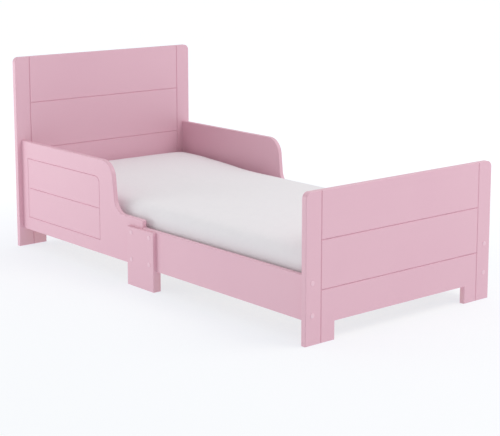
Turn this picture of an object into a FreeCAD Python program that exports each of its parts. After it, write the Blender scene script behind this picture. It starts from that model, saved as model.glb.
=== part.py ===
import FreeCAD, Part
import math
import os
import Sketcher
from FreeCAD import Vector

# Toddler bed with a grooved headboard and footboard, a guard panel and a low rail
# on each long side, a leg over each side joint, slats and a mattress.
#
# Row frame: X across the bed, Y along it with the head at +Y, Z up. The origin is on the
# floor under the middle of the bed. Millimetres.

SIZES = (
    # whole bed
    ("bed_width", 770),
    ("bed_length", 1540),
    # headboard and footboard
    ("end_board_thick", 19),
    ("headboard_height", 682),
    ("footboard_height", 435),
    ("foot_width", 111),
    ("foot_cutout_height", 55),
    ("corner_radius", 19),
    ("edge_round", 2.5),
    ("stile_groove_inset", 58),
    ("head_plank_upper", 165),
    ("head_plank_middle", 167),
    ("foot_plank_upper", 140),
    ("foot_plank_middle", 142),
    ("groove_width", 4),
    ("groove_depth", 2.8),
    # long sides
    ("side_board_thick", 16),
    ("side_inset", 17),
    ("side_underside", 66),
    ("rail_height", 130),
    ("guard_height", 319),
    ("guard_low_height", 154),
    ("joint_offset", 16),
    ("joint_gap", 0.6),
    ("curve_run_to_joint", 153),
    ("curve_lean_run", 18),
    ("curve_upper_radius", 60),
    ("curve_lower_radius", 52),
    ("guard_end_radius", 5),
    # routed frame on the guard panels
    ("frame_head_margin", 40),
    ("frame_curve_margin", 73),
    ("frame_top_margin", 60),
    ("frame_bottom_margin", 47),
    ("frame_corner_radius", 22),
    ("frame_groove_width", 3.2),
    ("frame_groove_depth", 2.2),
    # centre legs
    ("leg_width", 142),
    ("leg_rise", 126),
    ("leg_proud", 12),
    # mattress base
    ("slat_rise", 84),
    ("slat_thick", 15),
    ("slat_width", 70),
    ("slat_round", 3),
    ("slat_count", 13),
    ("slat_end_margin", 10),
    ("slat_side_clear", 2),
    ("cleat_thick", 24),
    ("cleat_height", 30),
    ("cleat_end_clear", 1),
    ("beam_thick", 20),
    ("beam_height", 60),
    ("beam_end_clear", 0.3),
    ("bracket_leg", 34),
    ("bracket_height", 24),
    ("bracket_thick", 2),
    ("bracket_drop", 4),
    # mattress
    ("mattress_thick", 128),
    ("mattress_clear", 2),
    ("mattress_seat", 0.3),
    ("mattress_corner_radius", 45),
    ("mattress_edge_radius", 28),
    # connector bolts, covers, nuts and sleeves
    ("bolt_shank", 6),
    ("bolt_hole", 6.5),
    ("bolt_head", 12),
    ("bolt_head_thick", 4),
    ("bolt_reach", 42),
    ("bolt_tip_clear", 2),
    ("head_seat_depth", 6),
    ("head_seat_clear", 0.4),
    ("cap_flange", 15),
    ("cap_rise", 1.2),
    ("cap_rim", 0.5),
    ("cap_stem_depth", 1.6),
    ("nut_diameter", 10),
    ("nut_length", 12),
    ("nut_from_end", 26),
    ("sleeve_diameter", 10),
    ("sleeve_length", 12),
    ("fit_clear", 0.04),
    ("bolt_rise", 20),
    ("rail_bolt_drop", 18),
    ("guard_bolt_drop", 145),
    ("leg_bolt_pitch_along", 96),
    ("leg_bolt_drop", 18),
    # dowels
    ("dowel_diameter", 8),
    ("dowel_length", 35),
    ("dowel_in_board", 12),
    ("dowel_end_clear", 1),
    ("head_dowel_rise", 39),
    ("head_dowel_pitch", 185),
    # screws
    ("screw_shank", 4),
    ("screw_head", 8),
    ("screw_head_thick", 2),
    ("screw_head_seat", 2.4),
    ("slat_screw_length", 32),
    ("cleat_screw_length", 32),
    ("cleat_screw_count", 3),
    ("bracket_screw_length", 12),
    ("bracket_screw_first", 12),
    ("bracket_screw_pitch", 14),
)

# Places that several pieces share, as formulas of the sheet's names.
HALF_LENGTH = "(sizes.bed_length / 2)"
HALF_WIDTH = "(sizes.bed_width / 2)"
INNER_END = "(sizes.bed_length / 2 - sizes.end_board_thick)"
SIDE_FACE = "(sizes.bed_width / 2 - sizes.side_inset)"
SIDE_BACK = f"({SIDE_FACE} - sizes.side_board_thick)"
SIDE_MIDDLE = f"({SIDE_FACE} - sizes.side_board_thick / 2)"
LEG_FACE = f"({SIDE_FACE} + sizes.leg_proud)"
JOINT = "sizes.joint_offset"
GUARD_START = f"({JOINT} + sizes.joint_gap / 2)"
RAIL_START = f"({JOINT} - sizes.joint_gap / 2)"
GUARD_TOP = "(sizes.side_underside + sizes.guard_height)"
GUARD_LOW_TOP = "(sizes.side_underside + sizes.guard_low_height)"
RAIL_TOP = "(sizes.side_underside + sizes.rail_height)"
CURVE_FOOT = f"({JOINT} + sizes.curve_run_to_joint)"
CURVE_HEAD = f"({CURVE_FOOT} + sizes.curve_lean_run)"
FRAME_HEAD = f"({INNER_END} - sizes.frame_head_margin)"
FRAME_FOOT = f"({CURVE_HEAD} + sizes.frame_curve_margin)"
FRAME_TOP = f"({GUARD_TOP} - sizes.frame_top_margin)"
FRAME_BOTTOM = "(sizes.side_underside + sizes.frame_bottom_margin)"
SLAT_TOP = "(sizes.side_underside + sizes.slat_rise)"
SLAT_UNDERSIDE = f"({SLAT_TOP} - sizes.slat_thick)"
SLAT_FIRST = f"({INNER_END} - sizes.slat_end_margin - sizes.slat_width / 2)"
SLAT_PITCH = f"(2 * {SLAT_FIRST} / (sizes.slat_count - 1))"
SLAT_SCREW_X = f"({SIDE_BACK} - sizes.cleat_thick / 2)"
CLEAT_MIDDLE = f"({SLAT_UNDERSIDE} - sizes.cleat_height / 2)"
CLEAT_BACK = f"({SIDE_BACK} - sizes.cleat_thick)"
HEAD_CLEAT_START = f"({JOINT} + sizes.beam_thick / 2 + sizes.cleat_end_clear)"
FOOT_CLEAT_END = f"({JOINT} - sizes.beam_thick / 2 - sizes.cleat_end_clear)"
CLEAT_HEAD_END = f"({INNER_END} - sizes.cleat_end_clear)"
BEAM_FACE = f"({JOINT} + sizes.beam_thick / 2)"
BRACKET_TOP = f"({SLAT_UNDERSIDE} - sizes.cleat_height - sizes.bracket_drop)"
BRACKET_MIDDLE = f"({BRACKET_TOP} - sizes.bracket_height / 2)"
CLEAT_SCREW_STEP = "(floor(((sizes.slat_count - 1) / 2 - 1) / (sizes.cleat_screw_count - 1)))"
CLEAT_SCREW_SPREAD = f"((sizes.cleat_screw_count - 1) * {CLEAT_SCREW_STEP} * {SLAT_PITCH})"
CLEAT_SCREW_FAR = f"({SLAT_FIRST} - {SLAT_PITCH} / 2)"
CLEAT_SCREW_NEAR = f"({CLEAT_SCREW_FAR} - {CLEAT_SCREW_SPREAD})"
LEG_TOP = "(sizes.side_underside + sizes.leg_rise)"
LOW_BOLT = "(sizes.side_underside + sizes.bolt_rise)"
RAIL_BOLT_PITCH = f"({RAIL_TOP} - sizes.rail_bolt_drop - {LOW_BOLT})"
GUARD_BOLT_PITCH = f"({GUARD_TOP} - sizes.guard_bolt_drop - {LOW_BOLT})"
LEG_BOLT_PITCH = f"({LEG_TOP} - sizes.leg_bolt_drop - {LOW_BOLT})"
LEG_HIGH_BOLT = f"({LOW_BOLT} + {LEG_BOLT_PITCH})"
FOOT_DOWEL = f"({LOW_BOLT} + {RAIL_BOLT_PITCH} / 2)"
HEAD_DOWEL = f"({LOW_BOLT} + sizes.head_dowel_rise)"
NUT_HOLE = "(sizes.nut_diameter + sizes.fit_clear)"
SLEEVE_HOLE = "(sizes.sleeve_diameter + sizes.fit_clear)"
DOWEL_IN_SIDE = "(sizes.dowel_length - sizes.dowel_in_board)"
SCREW_HEAD_SUNK = "(sizes.screw_head_seat - sizes.screw_head_thick)"
SLAT_SCREW_BITE = "(sizes.slat_screw_length - sizes.slat_thick + sizes.screw_head_seat)"
CLEAT_SCREW_BITE = "(sizes.cleat_screw_length - sizes.cleat_thick + sizes.screw_head_seat)"
BRACKET_SCREW_BITE = "(sizes.bracket_screw_length - sizes.bracket_thick)"
BRACKET_SCREWS = (
    "sizes.bracket_screw_first",
    "(sizes.bracket_screw_first + sizes.bracket_screw_pitch)",
)
PILOT = "(sizes.screw_shank + sizes.fit_clear)"
HEAD_SEAT = "(sizes.bolt_head + sizes.head_seat_clear)"
SCREW_SEAT = "(sizes.screw_head + sizes.head_seat_clear)"
DOWEL_HOLE = "(sizes.dowel_diameter + sizes.fit_clear)"
BOLT_HEAD_TOP = "(sizes.bolt_head_thick - sizes.head_seat_depth)"

LEFT, RIGHT = -1, 1


def make_sheet(doc):
    """Spreadsheet of the driving dimensions, each under its own name."""
    sheet = doc.addObject("Spreadsheet::Sheet", "sizes")
    for row, (alias, value) in enumerate(SIZES, 1):
        sheet.set(f"A{row}", alias)
        sheet.set(f"B{row}", str(value))
        sheet.setAlias(f"B{row}", alias)
    doc.recompute()
    return sheet


def value_of(body, formula):
    """Number that a formula of the sheet gives."""
    return float(body.evalExpression(formula))


def make_body(doc, label, x=None, y=None, z=None):
    """Body at a place given by formulas; a missing one stays at zero."""
    body = doc.addObject("PartDesign::Body", label)
    body.Label = label
    for axis, formula in (("x", x), ("y", y), ("z", z)):
        if formula is not None:
            body.setExpression(f"Placement.Base.{axis}", formula)
    return body


def origin_feature(body, role):
    """Origin plane or axis of a body."""
    return next(item for item in body.Origin.OriginFeatures if item.Role == role)


def make_sketch(body, name, plane, lift=None):
    """Empty sketch on an origin plane of the body, moved along the plane's normal by lift."""
    sketch = body.newObject("Sketcher::SketchObject", name)
    sketch.AttachmentSupport = [(origin_feature(body, plane), "")]
    sketch.MapMode = "FlatFace"
    if lift is not None:
        sketch.setExpression("AttachmentOffset.Base.z", lift)
    return sketch


def tie(sketch, kind, formula, *places):
    """Add a dimension to a sketch and bind it to a formula."""
    index = sketch.addConstraint(Sketcher.Constraint(kind, *places, value_of(sketch, formula)))
    sketch.setExpression(f"Constraints[{index}]", formula)


def draw_polygon(sketch, corners):
    """Closed outline whose corners sit at pairs of formulas."""
    points = [Vector(value_of(sketch, u), value_of(sketch, v), 0) for u, v in corners]
    first = sketch.GeometryCount
    count = len(points)
    for index, point in enumerate(points):
        sketch.addGeometry(Part.LineSegment(point, points[(index + 1) % count]), False)
    for index in range(count):
        following = first + (index + 1) % count
        sketch.addConstraint(Sketcher.Constraint("Coincident", first + index, 2, following, 1))
    for index, (u, v) in enumerate(corners):
        tie(sketch, "DistanceX", u, -1, 1, first + index, 1)
        tie(sketch, "DistanceY", v, -1, 1, first + index, 1)


def draw_circle(sketch, u, v, diameter):
    """Circle with its centre and diameter at formulas."""
    centre = Vector(value_of(sketch, u), value_of(sketch, v), 0)
    radius = value_of(sketch, diameter) / 2
    index = sketch.addGeometry(Part.Circle(centre, Vector(0, 0, 1), radius), False)
    tie(sketch, "DistanceX", u, -1, 1, index, 3)
    tie(sketch, "DistanceY", v, -1, 1, index, 3)
    tie(sketch, "Diameter", diameter, index)


def draw_box(sketch, u_low, u_high, v_low, v_high):
    """Upright rectangle between formulas."""
    draw_polygon(sketch, ((u_low, v_low), (u_high, v_low), (u_high, v_high), (u_low, v_high)))


def pad(body, sketch, length, reverse=False, both=False):
    """Pad of a sketch, one way along its normal or half each way."""
    feature = body.newObject("PartDesign::Pad", f"{sketch.Name}_pad")
    feature.Profile = sketch
    feature.setExpression("Length", length)
    feature.Reversed = reverse
    if both:
        feature.SideType = "Symmetric"
    body.Document.recompute()
    return feature


def pocket(body, sketch, length, reverse=False, both=False):
    """Pocket of a sketch, against its normal unless reversed, that must remove material."""
    before = body.Shape.Volume
    feature = body.newObject("PartDesign::Pocket", f"{sketch.Name}_cut")
    feature.Profile = sketch
    feature.setExpression("Length", length)
    feature.Reversed = reverse
    if both:
        feature.SideType = "Symmetric"
    body.Document.recompute()
    if not body.Shape.Volume < before - 1e-3:
        raise RuntimeError(f"{feature.Name} in {body.Label} cuts nothing")
    return feature


def fillet(body, name, radius, chosen):
    """Fillet of the edges that chosen accepts."""
    base = body.Tip
    names = [f"Edge{n}" for n, edge in enumerate(base.Shape.Edges, 1) if chosen(edge)]
    feature = body.newObject("PartDesign::Fillet", name)
    feature.Base = (base, names)
    feature.setExpression("Radius", radius)
    body.Document.recompute()
    return feature


def runs_along(edge, axis, tolerance=1e-6):
    """True for a straight edge along one of the body's axes, given as 0, 1 or 2."""
    if not isinstance(edge.Curve, Part.Line):
        return False
    direction = edge.Vertexes[1].Point - edge.Vertexes[0].Point
    return all(abs(direction[other]) < tolerance for other in range(3) if other != axis)


def lies_at(edge, axis, places, tolerance=1e-4):
    """True for an edge that lies whole in one of the planes across an axis."""
    box = edge.BoundBox
    low = (box.XMin, box.YMin, box.ZMin)[axis]
    high = (box.XMax, box.YMax, box.ZMax)[axis]
    return any(abs(low - place) < tolerance and abs(high - place) < tolerance for place in places)


def passes(edge, axis, place, tolerance=1e-4):
    """True for an edge whose middle is at a place along an axis."""
    return abs(edge.CenterOfMass[axis] - place) < tolerance


def copies(body, name, features, steps):
    """Repeat features in a grid; each step is an axis, its whole length and a count."""
    pattern = body.newObject("PartDesign::MultiTransform", name)
    pattern.Originals = features
    rows = []
    for axis, length, count in steps:
        row = body.newObject("PartDesign::LinearPattern", f"{name}_{axis.lower()}")
        row.Direction = (origin_feature(body, f"{axis}_Axis"), [""])
        row.setExpression("Length", length)
        row.setExpression("Occurrences", count)
        rows.append(row)
    pattern.Transformations = rows
    body.Tip = pattern
    body.Document.recompute()
    return pattern


def turned(body, name, plane, axis, profile, offset=("0", "0", "0")):
    """Solid of revolution of a half profile about its sketch's own H_Axis or V_Axis.

    The offset moves the sketch along the plane's two directions and its normal.
    """
    sketch = make_sketch(body, name, plane)
    for direction, formula in zip("xyz", offset):
        if formula != "0":
            sketch.setExpression(f"AttachmentOffset.Base.{direction}", formula)
    draw_polygon(sketch, profile)
    feature = body.newObject("PartDesign::Revolution", f"{name}_turned")
    feature.Profile = sketch
    feature.ReferenceAxis = (sketch, [axis])
    feature.Angle = 360
    body.Document.recompute()
    return feature


# ---------------------------------------------------------------- end boards


def end_board(doc, label, height, planks, at_head, bolt_pitch, dowel_low, dowel_pitch):
    """Headboard or footboard: a board on two feet with grooves on its foot-end face.

    The body's own frame has Y = 0 on the board's outer face.
    """
    side = 1 if at_head else -1
    body = make_body(doc, label, y=f"{side} * {HALF_LENGTH}")
    inward = at_head
    outline = make_sketch(body, f"{label}_outline", "XZ_Plane")
    inner_foot = f"({HALF_WIDTH} - sizes.foot_width)"
    draw_polygon(outline, (
        (f"-{HALF_WIDTH}", "0"),
        (f"-{inner_foot}", "0"),
        (f"-{inner_foot}", "sizes.foot_cutout_height"),
        (inner_foot, "sizes.foot_cutout_height"),
        (inner_foot, "0"),
        (HALF_WIDTH, "0"),
        (HALF_WIDTH, height),
        (f"-{HALF_WIDTH}", height),
    ))
    pad(body, outline, "sizes.end_board_thick", reverse=not inward)

    top = value_of(body, height)
    thick = value_of(body, "sizes.end_board_thick")
    faces = (0, -side * thick)
    fillet(body, f"{label}_corners", "sizes.corner_radius",
           lambda edge: runs_along(edge, 1) and edge.CenterOfMass.z > top - 1e-3)
    fillet(body, f"{label}_edges", "sizes.edge_round", lambda edge: lies_at(edge, 1, faces))

    groove_face = f"-{side} * sizes.end_board_thick" if at_head else "0"
    cut_end_board_grooves(body, label, height, planks, groove_face, -1)
    cut_end_board_holes(body, label, side, bolt_pitch, dowel_low, dowel_pitch)
    return body


def cut_end_board_grooves(body, label, height, planks, face, outward):
    """V-grooves: one down each side at full height and level ones between those."""
    half = "(sizes.groove_width / 2)"
    proud = "(sizes.groove_depth / 4)"
    wide = f"({half} + {half} / 4)"
    rim = f"({face} + {outward} * {proud})"
    bottom = f"({face} - {outward} * sizes.groove_depth)"
    groove_x = f"({HALF_WIDTH} - sizes.stile_groove_inset)"

    stiles = make_sketch(body, f"{label}_stile_grooves", "XY_Plane")
    for sign in ("-", ""):
        centre = f"({sign}{groove_x})"
        draw_polygon(stiles, (
            (f"{centre} - {wide}", rim),
            (f"{centre} + {wide}", rim),
            (centre, bottom),
        ))
    pocket(body, stiles, height, reverse=True)

    level = height
    for number, plank in enumerate(planks, 1):
        level = f"({level} - {plank})"
        line = make_sketch(body, f"{label}_level_groove_{number}", "YZ_Plane")
        draw_polygon(line, (
            (rim, f"{level} - {wide}"),
            (rim, f"{level} + {wide}"),
            (bottom, level),
        ))
        pocket(body, line, f"2 * {groove_x}", both=True)


def cut_end_board_holes(body, label, side, bolt_pitch, dowel_low, dowel_pitch):
    """Stepped bolt holes from the outer face and blind dowel holes from the inner face."""
    from_outside = side > 0
    for name, diameter, depth in (
        ("bolt_holes", "sizes.bolt_hole", "sizes.end_board_thick"),
        ("head_seats", HEAD_SEAT, "sizes.head_seat_depth"),
    ):
        holes = make_sketch(body, f"{label}_{name}", "XZ_Plane")
        for sign in ("-", ""):
            for level in (LOW_BOLT, f"({LOW_BOLT} + {bolt_pitch})"):
                draw_circle(holes, f"{sign}{SIDE_MIDDLE}", level, diameter)
        pocket(body, holes, depth, reverse=from_outside)

    holes = make_sketch(body, f"{label}_dowel_holes", "XZ_Plane",
                        lift=f"{side} * sizes.end_board_thick")
    for sign in ("-", ""):
        for level in dowel_levels(dowel_low, dowel_pitch):
            draw_circle(holes, f"{sign}{SIDE_MIDDLE}", level, DOWEL_HOLE)
    pocket(body, holes, "sizes.dowel_in_board + sizes.dowel_end_clear", reverse=not from_outside)


def dowel_levels(low, pitch):
    """Heights of the dowels in one corner: one, or two a pitch apart."""
    return [low] if pitch is None else [low, f"({low} + {pitch})"]


# ---------------------------------------------------------------- long sides


def guard_panel(doc, label, side):
    """Head half of a long side: high guard, S-curve and low end, with a routed frame.

    The body's own frame has X = 0 on the outer face.
    """
    body = make_body(doc, label, x=f"{side} * {SIDE_FACE}")
    outline = make_sketch(body, f"{label}_outline", "YZ_Plane")
    draw_polygon(outline, (
        (GUARD_START, "sizes.side_underside"),
        (INNER_END, "sizes.side_underside"),
        (INNER_END, GUARD_TOP),
        (CURVE_HEAD, GUARD_TOP),
        (CURVE_FOOT, GUARD_LOW_TOP),
        (GUARD_START, GUARD_LOW_TOP),
    ))
    pad(body, outline, "sizes.side_board_thick", reverse=side > 0)

    head_y, foot_y, start_y, end_y, low_top, thick = (
        value_of(body, formula) for formula in
        (CURVE_HEAD, CURVE_FOOT, GUARD_START, INNER_END, GUARD_LOW_TOP, "sizes.side_board_thick")
    )
    fillet(body, f"{label}_upper_curve", "sizes.curve_upper_radius",
           lambda edge: runs_along(edge, 0) and passes(edge, 1, head_y))
    fillet(body, f"{label}_lower_curve", "sizes.curve_lower_radius",
           lambda edge: runs_along(edge, 0) and passes(edge, 1, foot_y))
    fillet(body, f"{label}_end_corner", "sizes.guard_end_radius",
           lambda edge: runs_along(edge, 0) and passes(edge, 1, start_y) and passes(edge, 2, low_top))
    fillet(body, f"{label}_edges", "sizes.edge_round",
           lambda edge: lies_at(edge, 0, (0, -side * thick)) and not lies_at(edge, 1, (end_y, start_y)))

    cut_routed_frame(body, label, side)
    cut_end_joint_bores(body, label, side, INNER_END, GUARD_BOLT_PITCH,
                        HEAD_DOWEL, "sizes.head_dowel_pitch")
    cut_sleeve_bores(body, label, side, +1)
    cut_cleat_pilots(body, label, side, CLEAT_SCREW_NEAR)
    cut_bracket_pilots(body, label, side)
    return body


def cut_routed_frame(body, label, side):
    """V-groove frame on the outer face, its corner by the S-curve rounded, and a level line."""
    half = "(sizes.frame_groove_width / 2)"
    rise = "(sizes.frame_groove_depth / 4)"
    wide = f"({half} * 1.25)"
    rim = f"({side} * {rise})"
    bottom = f"(-{side} * sizes.frame_groove_depth)"
    middle = f"(({FRAME_FOOT} + {FRAME_HEAD}) / 2)"

    path = make_sketch(body, f"{label}_frame_path", "YZ_Plane")
    radius, foot, head, low, top = (
        value_of(body, formula) for formula in
        ("sizes.frame_corner_radius", FRAME_FOOT, FRAME_HEAD, FRAME_BOTTOM, FRAME_TOP)
    )
    start = Vector((foot + head) / 2, low, 0)
    stops = (start, Vector(head, low, 0), Vector(head, top, 0), Vector(foot + radius, top, 0))
    for first, second in zip(stops, stops[1:]):
        path.addGeometry(Part.LineSegment(first, second), False)
    corner = Part.Circle(Vector(foot + radius, top - radius, 0), Vector(0, 0, 1), radius)
    path.addGeometry(Part.ArcOfCircle(corner, math.pi / 2, math.pi), False)
    stops = (Vector(foot, top - radius, 0), Vector(foot, low, 0), start)
    for first, second in zip(stops, stops[1:]):
        path.addGeometry(Part.LineSegment(first, second), False)
    for kind, *places in (
        ("Coincident", 0, 2, 1, 1), ("Coincident", 1, 2, 2, 1), ("Tangent", 2, 2, 3, 1),
        ("Tangent", 3, 2, 4, 1), ("Coincident", 4, 2, 5, 1), ("Coincident", 5, 2, 0, 1),
        ("Horizontal", 0), ("Vertical", 1), ("Horizontal", 2), ("Vertical", 4), ("Horizontal", 5),
    ):
        path.addConstraint(Sketcher.Constraint(kind, *places))
    tie(path, "DistanceX", middle, -1, 1, 0, 1)
    tie(path, "DistanceY", FRAME_BOTTOM, -1, 1, 0, 1)
    tie(path, "DistanceX", FRAME_HEAD, -1, 1, 1, 1)
    tie(path, "DistanceY", FRAME_TOP, -1, 1, 2, 1)
    tie(path, "DistanceX", FRAME_FOOT, -1, 1, 5, 1)
    tie(path, "Radius", "sizes.frame_corner_radius", 3)

    section = make_sketch(body, f"{label}_frame_section", "XZ_Plane", lift=f"-{middle}")
    draw_polygon(section, (
        (rim, f"{FRAME_BOTTOM} - {wide}"),
        (rim, f"{FRAME_BOTTOM} + {wide}"),
        (bottom, FRAME_BOTTOM),
    ))
    before = body.Shape.Volume
    groove = body.newObject("PartDesign::SubtractivePipe", f"{label}_frame_groove")
    groove.Profile = section
    groove.Spine = path
    groove.Transition = "Right corner"
    body.Document.recompute()
    if not body.Shape.Volume < before - 1e-3:
        raise RuntimeError(f"{label}: the routed frame cuts nothing")

    line = make_sketch(body, f"{label}_frame_line", "XZ_Plane", lift=f"-{FRAME_HEAD}")
    level = f"(({FRAME_TOP} + {FRAME_BOTTOM}) / 2)"
    draw_polygon(line, (
        (rim, f"{level} - {wide}"),
        (rim, f"{level} + {wide}"),
        (bottom, level),
    ))
    pocket(body, line, f"{FRAME_HEAD} - {FRAME_FOOT}", reverse=True)


def foot_rail(doc, label, side):
    """Foot half of a long side: a plain low rail. X = 0 is the outer face."""
    body = make_body(doc, label, x=f"{side} * {SIDE_FACE}")
    outline = make_sketch(body, f"{label}_outline", "YZ_Plane")
    draw_box(outline, f"-{INNER_END}", RAIL_START, "sizes.side_underside", RAIL_TOP)
    pad(body, outline, "sizes.side_board_thick", reverse=side > 0)
    fillet(body, f"{label}_edges", "sizes.edge_round", lambda edge: runs_along(edge, 1))
    cut_end_joint_bores(body, label, side, f"-{INNER_END}", RAIL_BOLT_PITCH,
                        FOOT_DOWEL, None)
    cut_sleeve_bores(body, label, side, -1)
    cut_cleat_pilots(body, label, side, f"-{CLEAT_SCREW_FAR}")
    return body


def cut_end_joint_bores(body, label, side, end, bolt_pitch, dowel_low, dowel_pitch):
    """Bolt and dowel bores in the end against an end board, and the cross nut bores."""
    at_head = end == INNER_END
    middle = f"-{side} * sizes.side_board_thick / 2"
    bolt_levels = (LOW_BOLT, f"({LOW_BOLT} + {bolt_pitch})")

    bolts = make_sketch(body, f"{label}_bolt_bores", "XZ_Plane", lift=f"-({end})")
    for level in bolt_levels:
        draw_circle(bolts, middle, level, "sizes.bolt_hole")
    pocket(body, bolts, "sizes.bolt_reach", reverse=at_head)

    dowels = make_sketch(body, f"{label}_dowel_bores", "XZ_Plane", lift=f"-({end})")
    for level in dowel_levels(dowel_low, dowel_pitch):
        draw_circle(dowels, middle, level, DOWEL_HOLE)
    pocket(body, dowels, f"{DOWEL_IN_SIDE} + sizes.dowel_end_clear", reverse=at_head)

    nuts = make_sketch(body, f"{label}_nut_bores", "YZ_Plane",
                       lift=f"-{side} * sizes.side_board_thick")
    inward = -1 if at_head else 1
    for level in bolt_levels:
        draw_circle(nuts, f"{end} + {inward} * sizes.nut_from_end", level, NUT_HOLE)
    pocket(body, nuts, "(sizes.side_board_thick + sizes.nut_length) / 2", reverse=side > 0)


def cut_sleeve_bores(body, label, side, way):
    """Blind bores from the outer face for the threaded sleeves behind the leg."""
    holes = make_sketch(body, f"{label}_sleeve_bores", "YZ_Plane")
    along = f"({JOINT} + {way} * sizes.leg_bolt_pitch_along / 2)"
    for level in (LOW_BOLT, LEG_HIGH_BOLT):
        draw_circle(holes, along, level, SLEEVE_HOLE)
    pocket(body, holes, "sizes.sleeve_length", reverse=side < 0)


def cut_cleat_pilots(body, label, side, first):
    """Pilot holes for the cleat screws, from the inner face."""
    hole = make_sketch(body, f"{label}_cleat_pilot", "YZ_Plane",
                       lift=f"-{side} * sizes.side_board_thick")
    draw_circle(hole, first, CLEAT_MIDDLE, PILOT)
    cut = pocket(body, hole, f"{CLEAT_SCREW_BITE} + sizes.fit_clear", reverse=side > 0)
    copies(body, f"{label}_cleat_pilots", [cut],
           (("Y", CLEAT_SCREW_SPREAD, "sizes.cleat_screw_count"),))


def cut_bracket_pilots(body, label, side):
    """Pilot holes for the screws of the beam bracket, from the inner face."""
    holes = make_sketch(body, f"{label}_bracket_pilots", "YZ_Plane",
                        lift=f"-{side} * sizes.side_board_thick")
    for place in BRACKET_SCREWS:
        draw_circle(holes, f"{BEAM_FACE} + {place}", BRACKET_MIDDLE, PILOT)
    pocket(body, holes, f"{BRACKET_SCREW_BITE} + sizes.fit_clear", reverse=side > 0)


def centre_leg(doc, label, side):
    """Leg over the side joint: a tongue on the outer faces and a shoulder under both pieces.

    The body's own frame has X = 0 on the leg's outer face and Y = 0 at the joint.
    """
    body = make_body(doc, label, x=f"{side} * {LEG_FACE}", y=JOINT)
    section = make_sketch(body, f"{label}_section", "XZ_Plane")
    tongue = f"(-{side} * sizes.leg_proud)"
    back = f"(-{side} * (sizes.leg_proud + sizes.side_board_thick))"
    draw_polygon(section, (
        ("0", "0"),
        (back, "0"),
        (back, "sizes.side_underside"),
        (tongue, "sizes.side_underside"),
        (tongue, LEG_TOP),
        ("0", LEG_TOP),
    ))
    pad(body, section, "sizes.leg_width", both=True)
    fillet(body, f"{label}_edges", "sizes.edge_round",
           lambda edge: lies_at(edge, 0, (0,)) and edge.CenterOfMass.z > 1)

    for name, diameter, depth in (
        ("bolt_holes", "sizes.bolt_hole", "sizes.leg_proud"),
        ("head_seats", HEAD_SEAT, "sizes.head_seat_depth"),
    ):
        holes = make_sketch(body, f"{label}_{name}", "YZ_Plane")
        for sign in ("-", ""):
            for level in (LOW_BOLT, LEG_HIGH_BOLT):
                draw_circle(holes, f"{sign}sizes.leg_bolt_pitch_along / 2", level, diameter)
        pocket(body, holes, depth, reverse=side < 0)
    return body


# ---------------------------------------------------------------- mattress base


def cleat(doc, label, side, start, end, first_screw):
    """Batten inside a long side, level under the slats. X = 0 is its face on the side board."""
    body = make_body(doc, label, x=f"{side} * {SIDE_BACK}")
    outline = make_sketch(body, f"{label}_outline", "YZ_Plane")
    draw_box(outline, start, end, f"({SLAT_UNDERSIDE} - sizes.cleat_height)", SLAT_UNDERSIDE)
    pad(body, outline, "sizes.cleat_thick", reverse=side > 0)
    for name, diameter, depth in (
        ("screw_hole", PILOT, "sizes.cleat_thick"),
        ("head_seat", SCREW_SEAT, "sizes.screw_head_seat"),
    ):
        hole = make_sketch(body, f"{label}_{name}", "YZ_Plane", lift=f"-{side} * sizes.cleat_thick")
        draw_circle(hole, first_screw, CLEAT_MIDDLE, diameter)
        cut = pocket(body, hole, depth, reverse=side > 0)
        copies(body, f"{label}_{name}s", [cut],
               (("Y", CLEAT_SCREW_SPREAD, "sizes.cleat_screw_count"),))
    cut_slat_pilots(body, f"-{side} * sizes.cleat_thick / 2", start, end, "0", SLAT_UNDERSIDE)
    return body


def slat_places(body):
    """Formulas of the slats' middles along the bed, from the head."""
    count = int(value_of(body, "sizes.slat_count"))
    return [f"({SLAT_FIRST} - {index} * {SLAT_PITCH})" for index in range(count)]


def cut_slat_pilots(body, across, start, end, own_y, top):
    """Pilot holes in a top face for the slat screws that meet it, if any do."""
    reach = value_of(body, PILOT) / 2
    low, high = value_of(body, start) - reach, value_of(body, end) + reach
    met = [place for place in slat_places(body) if low < value_of(body, place) < high]
    if not met:
        return
    holes = make_sketch(body, f"{body.Label}_slat_pilots", "XY_Plane", lift=top)
    for place in met:
        draw_circle(holes, across, f"{place} - {own_y}", PILOT)
    pocket(body, holes, f"{SLAT_SCREW_BITE} + sizes.fit_clear")


def slat(doc, label, place):
    """One slat across the bed, screwed down at each end. Its frame is under its middle."""
    body = make_body(doc, label, y=place, z=SLAT_UNDERSIDE)
    half_length = f"({SIDE_BACK} - sizes.slat_side_clear)"
    outline = make_sketch(body, f"{label}_outline", "XY_Plane")
    draw_box(outline, f"-{half_length}", half_length, "-sizes.slat_width / 2", "sizes.slat_width / 2")
    pad(body, outline, "sizes.slat_thick")
    fillet(body, f"{label}_edges", "sizes.slat_round",
           lambda edge: runs_along(edge, 0) and edge.CenterOfMass.z > 1)
    for name, diameter, depth in (
        ("screw_holes", PILOT, "sizes.slat_thick"),
        ("head_seats", SCREW_SEAT, "sizes.screw_head_seat"),
    ):
        holes = make_sketch(body, f"{label}_{name}", "XY_Plane", lift="sizes.slat_thick")
        for sign in ("-", ""):
            draw_circle(holes, f"{sign}{SLAT_SCREW_X}", "0", diameter)
        pocket(body, holes, depth)
    return body


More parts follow.
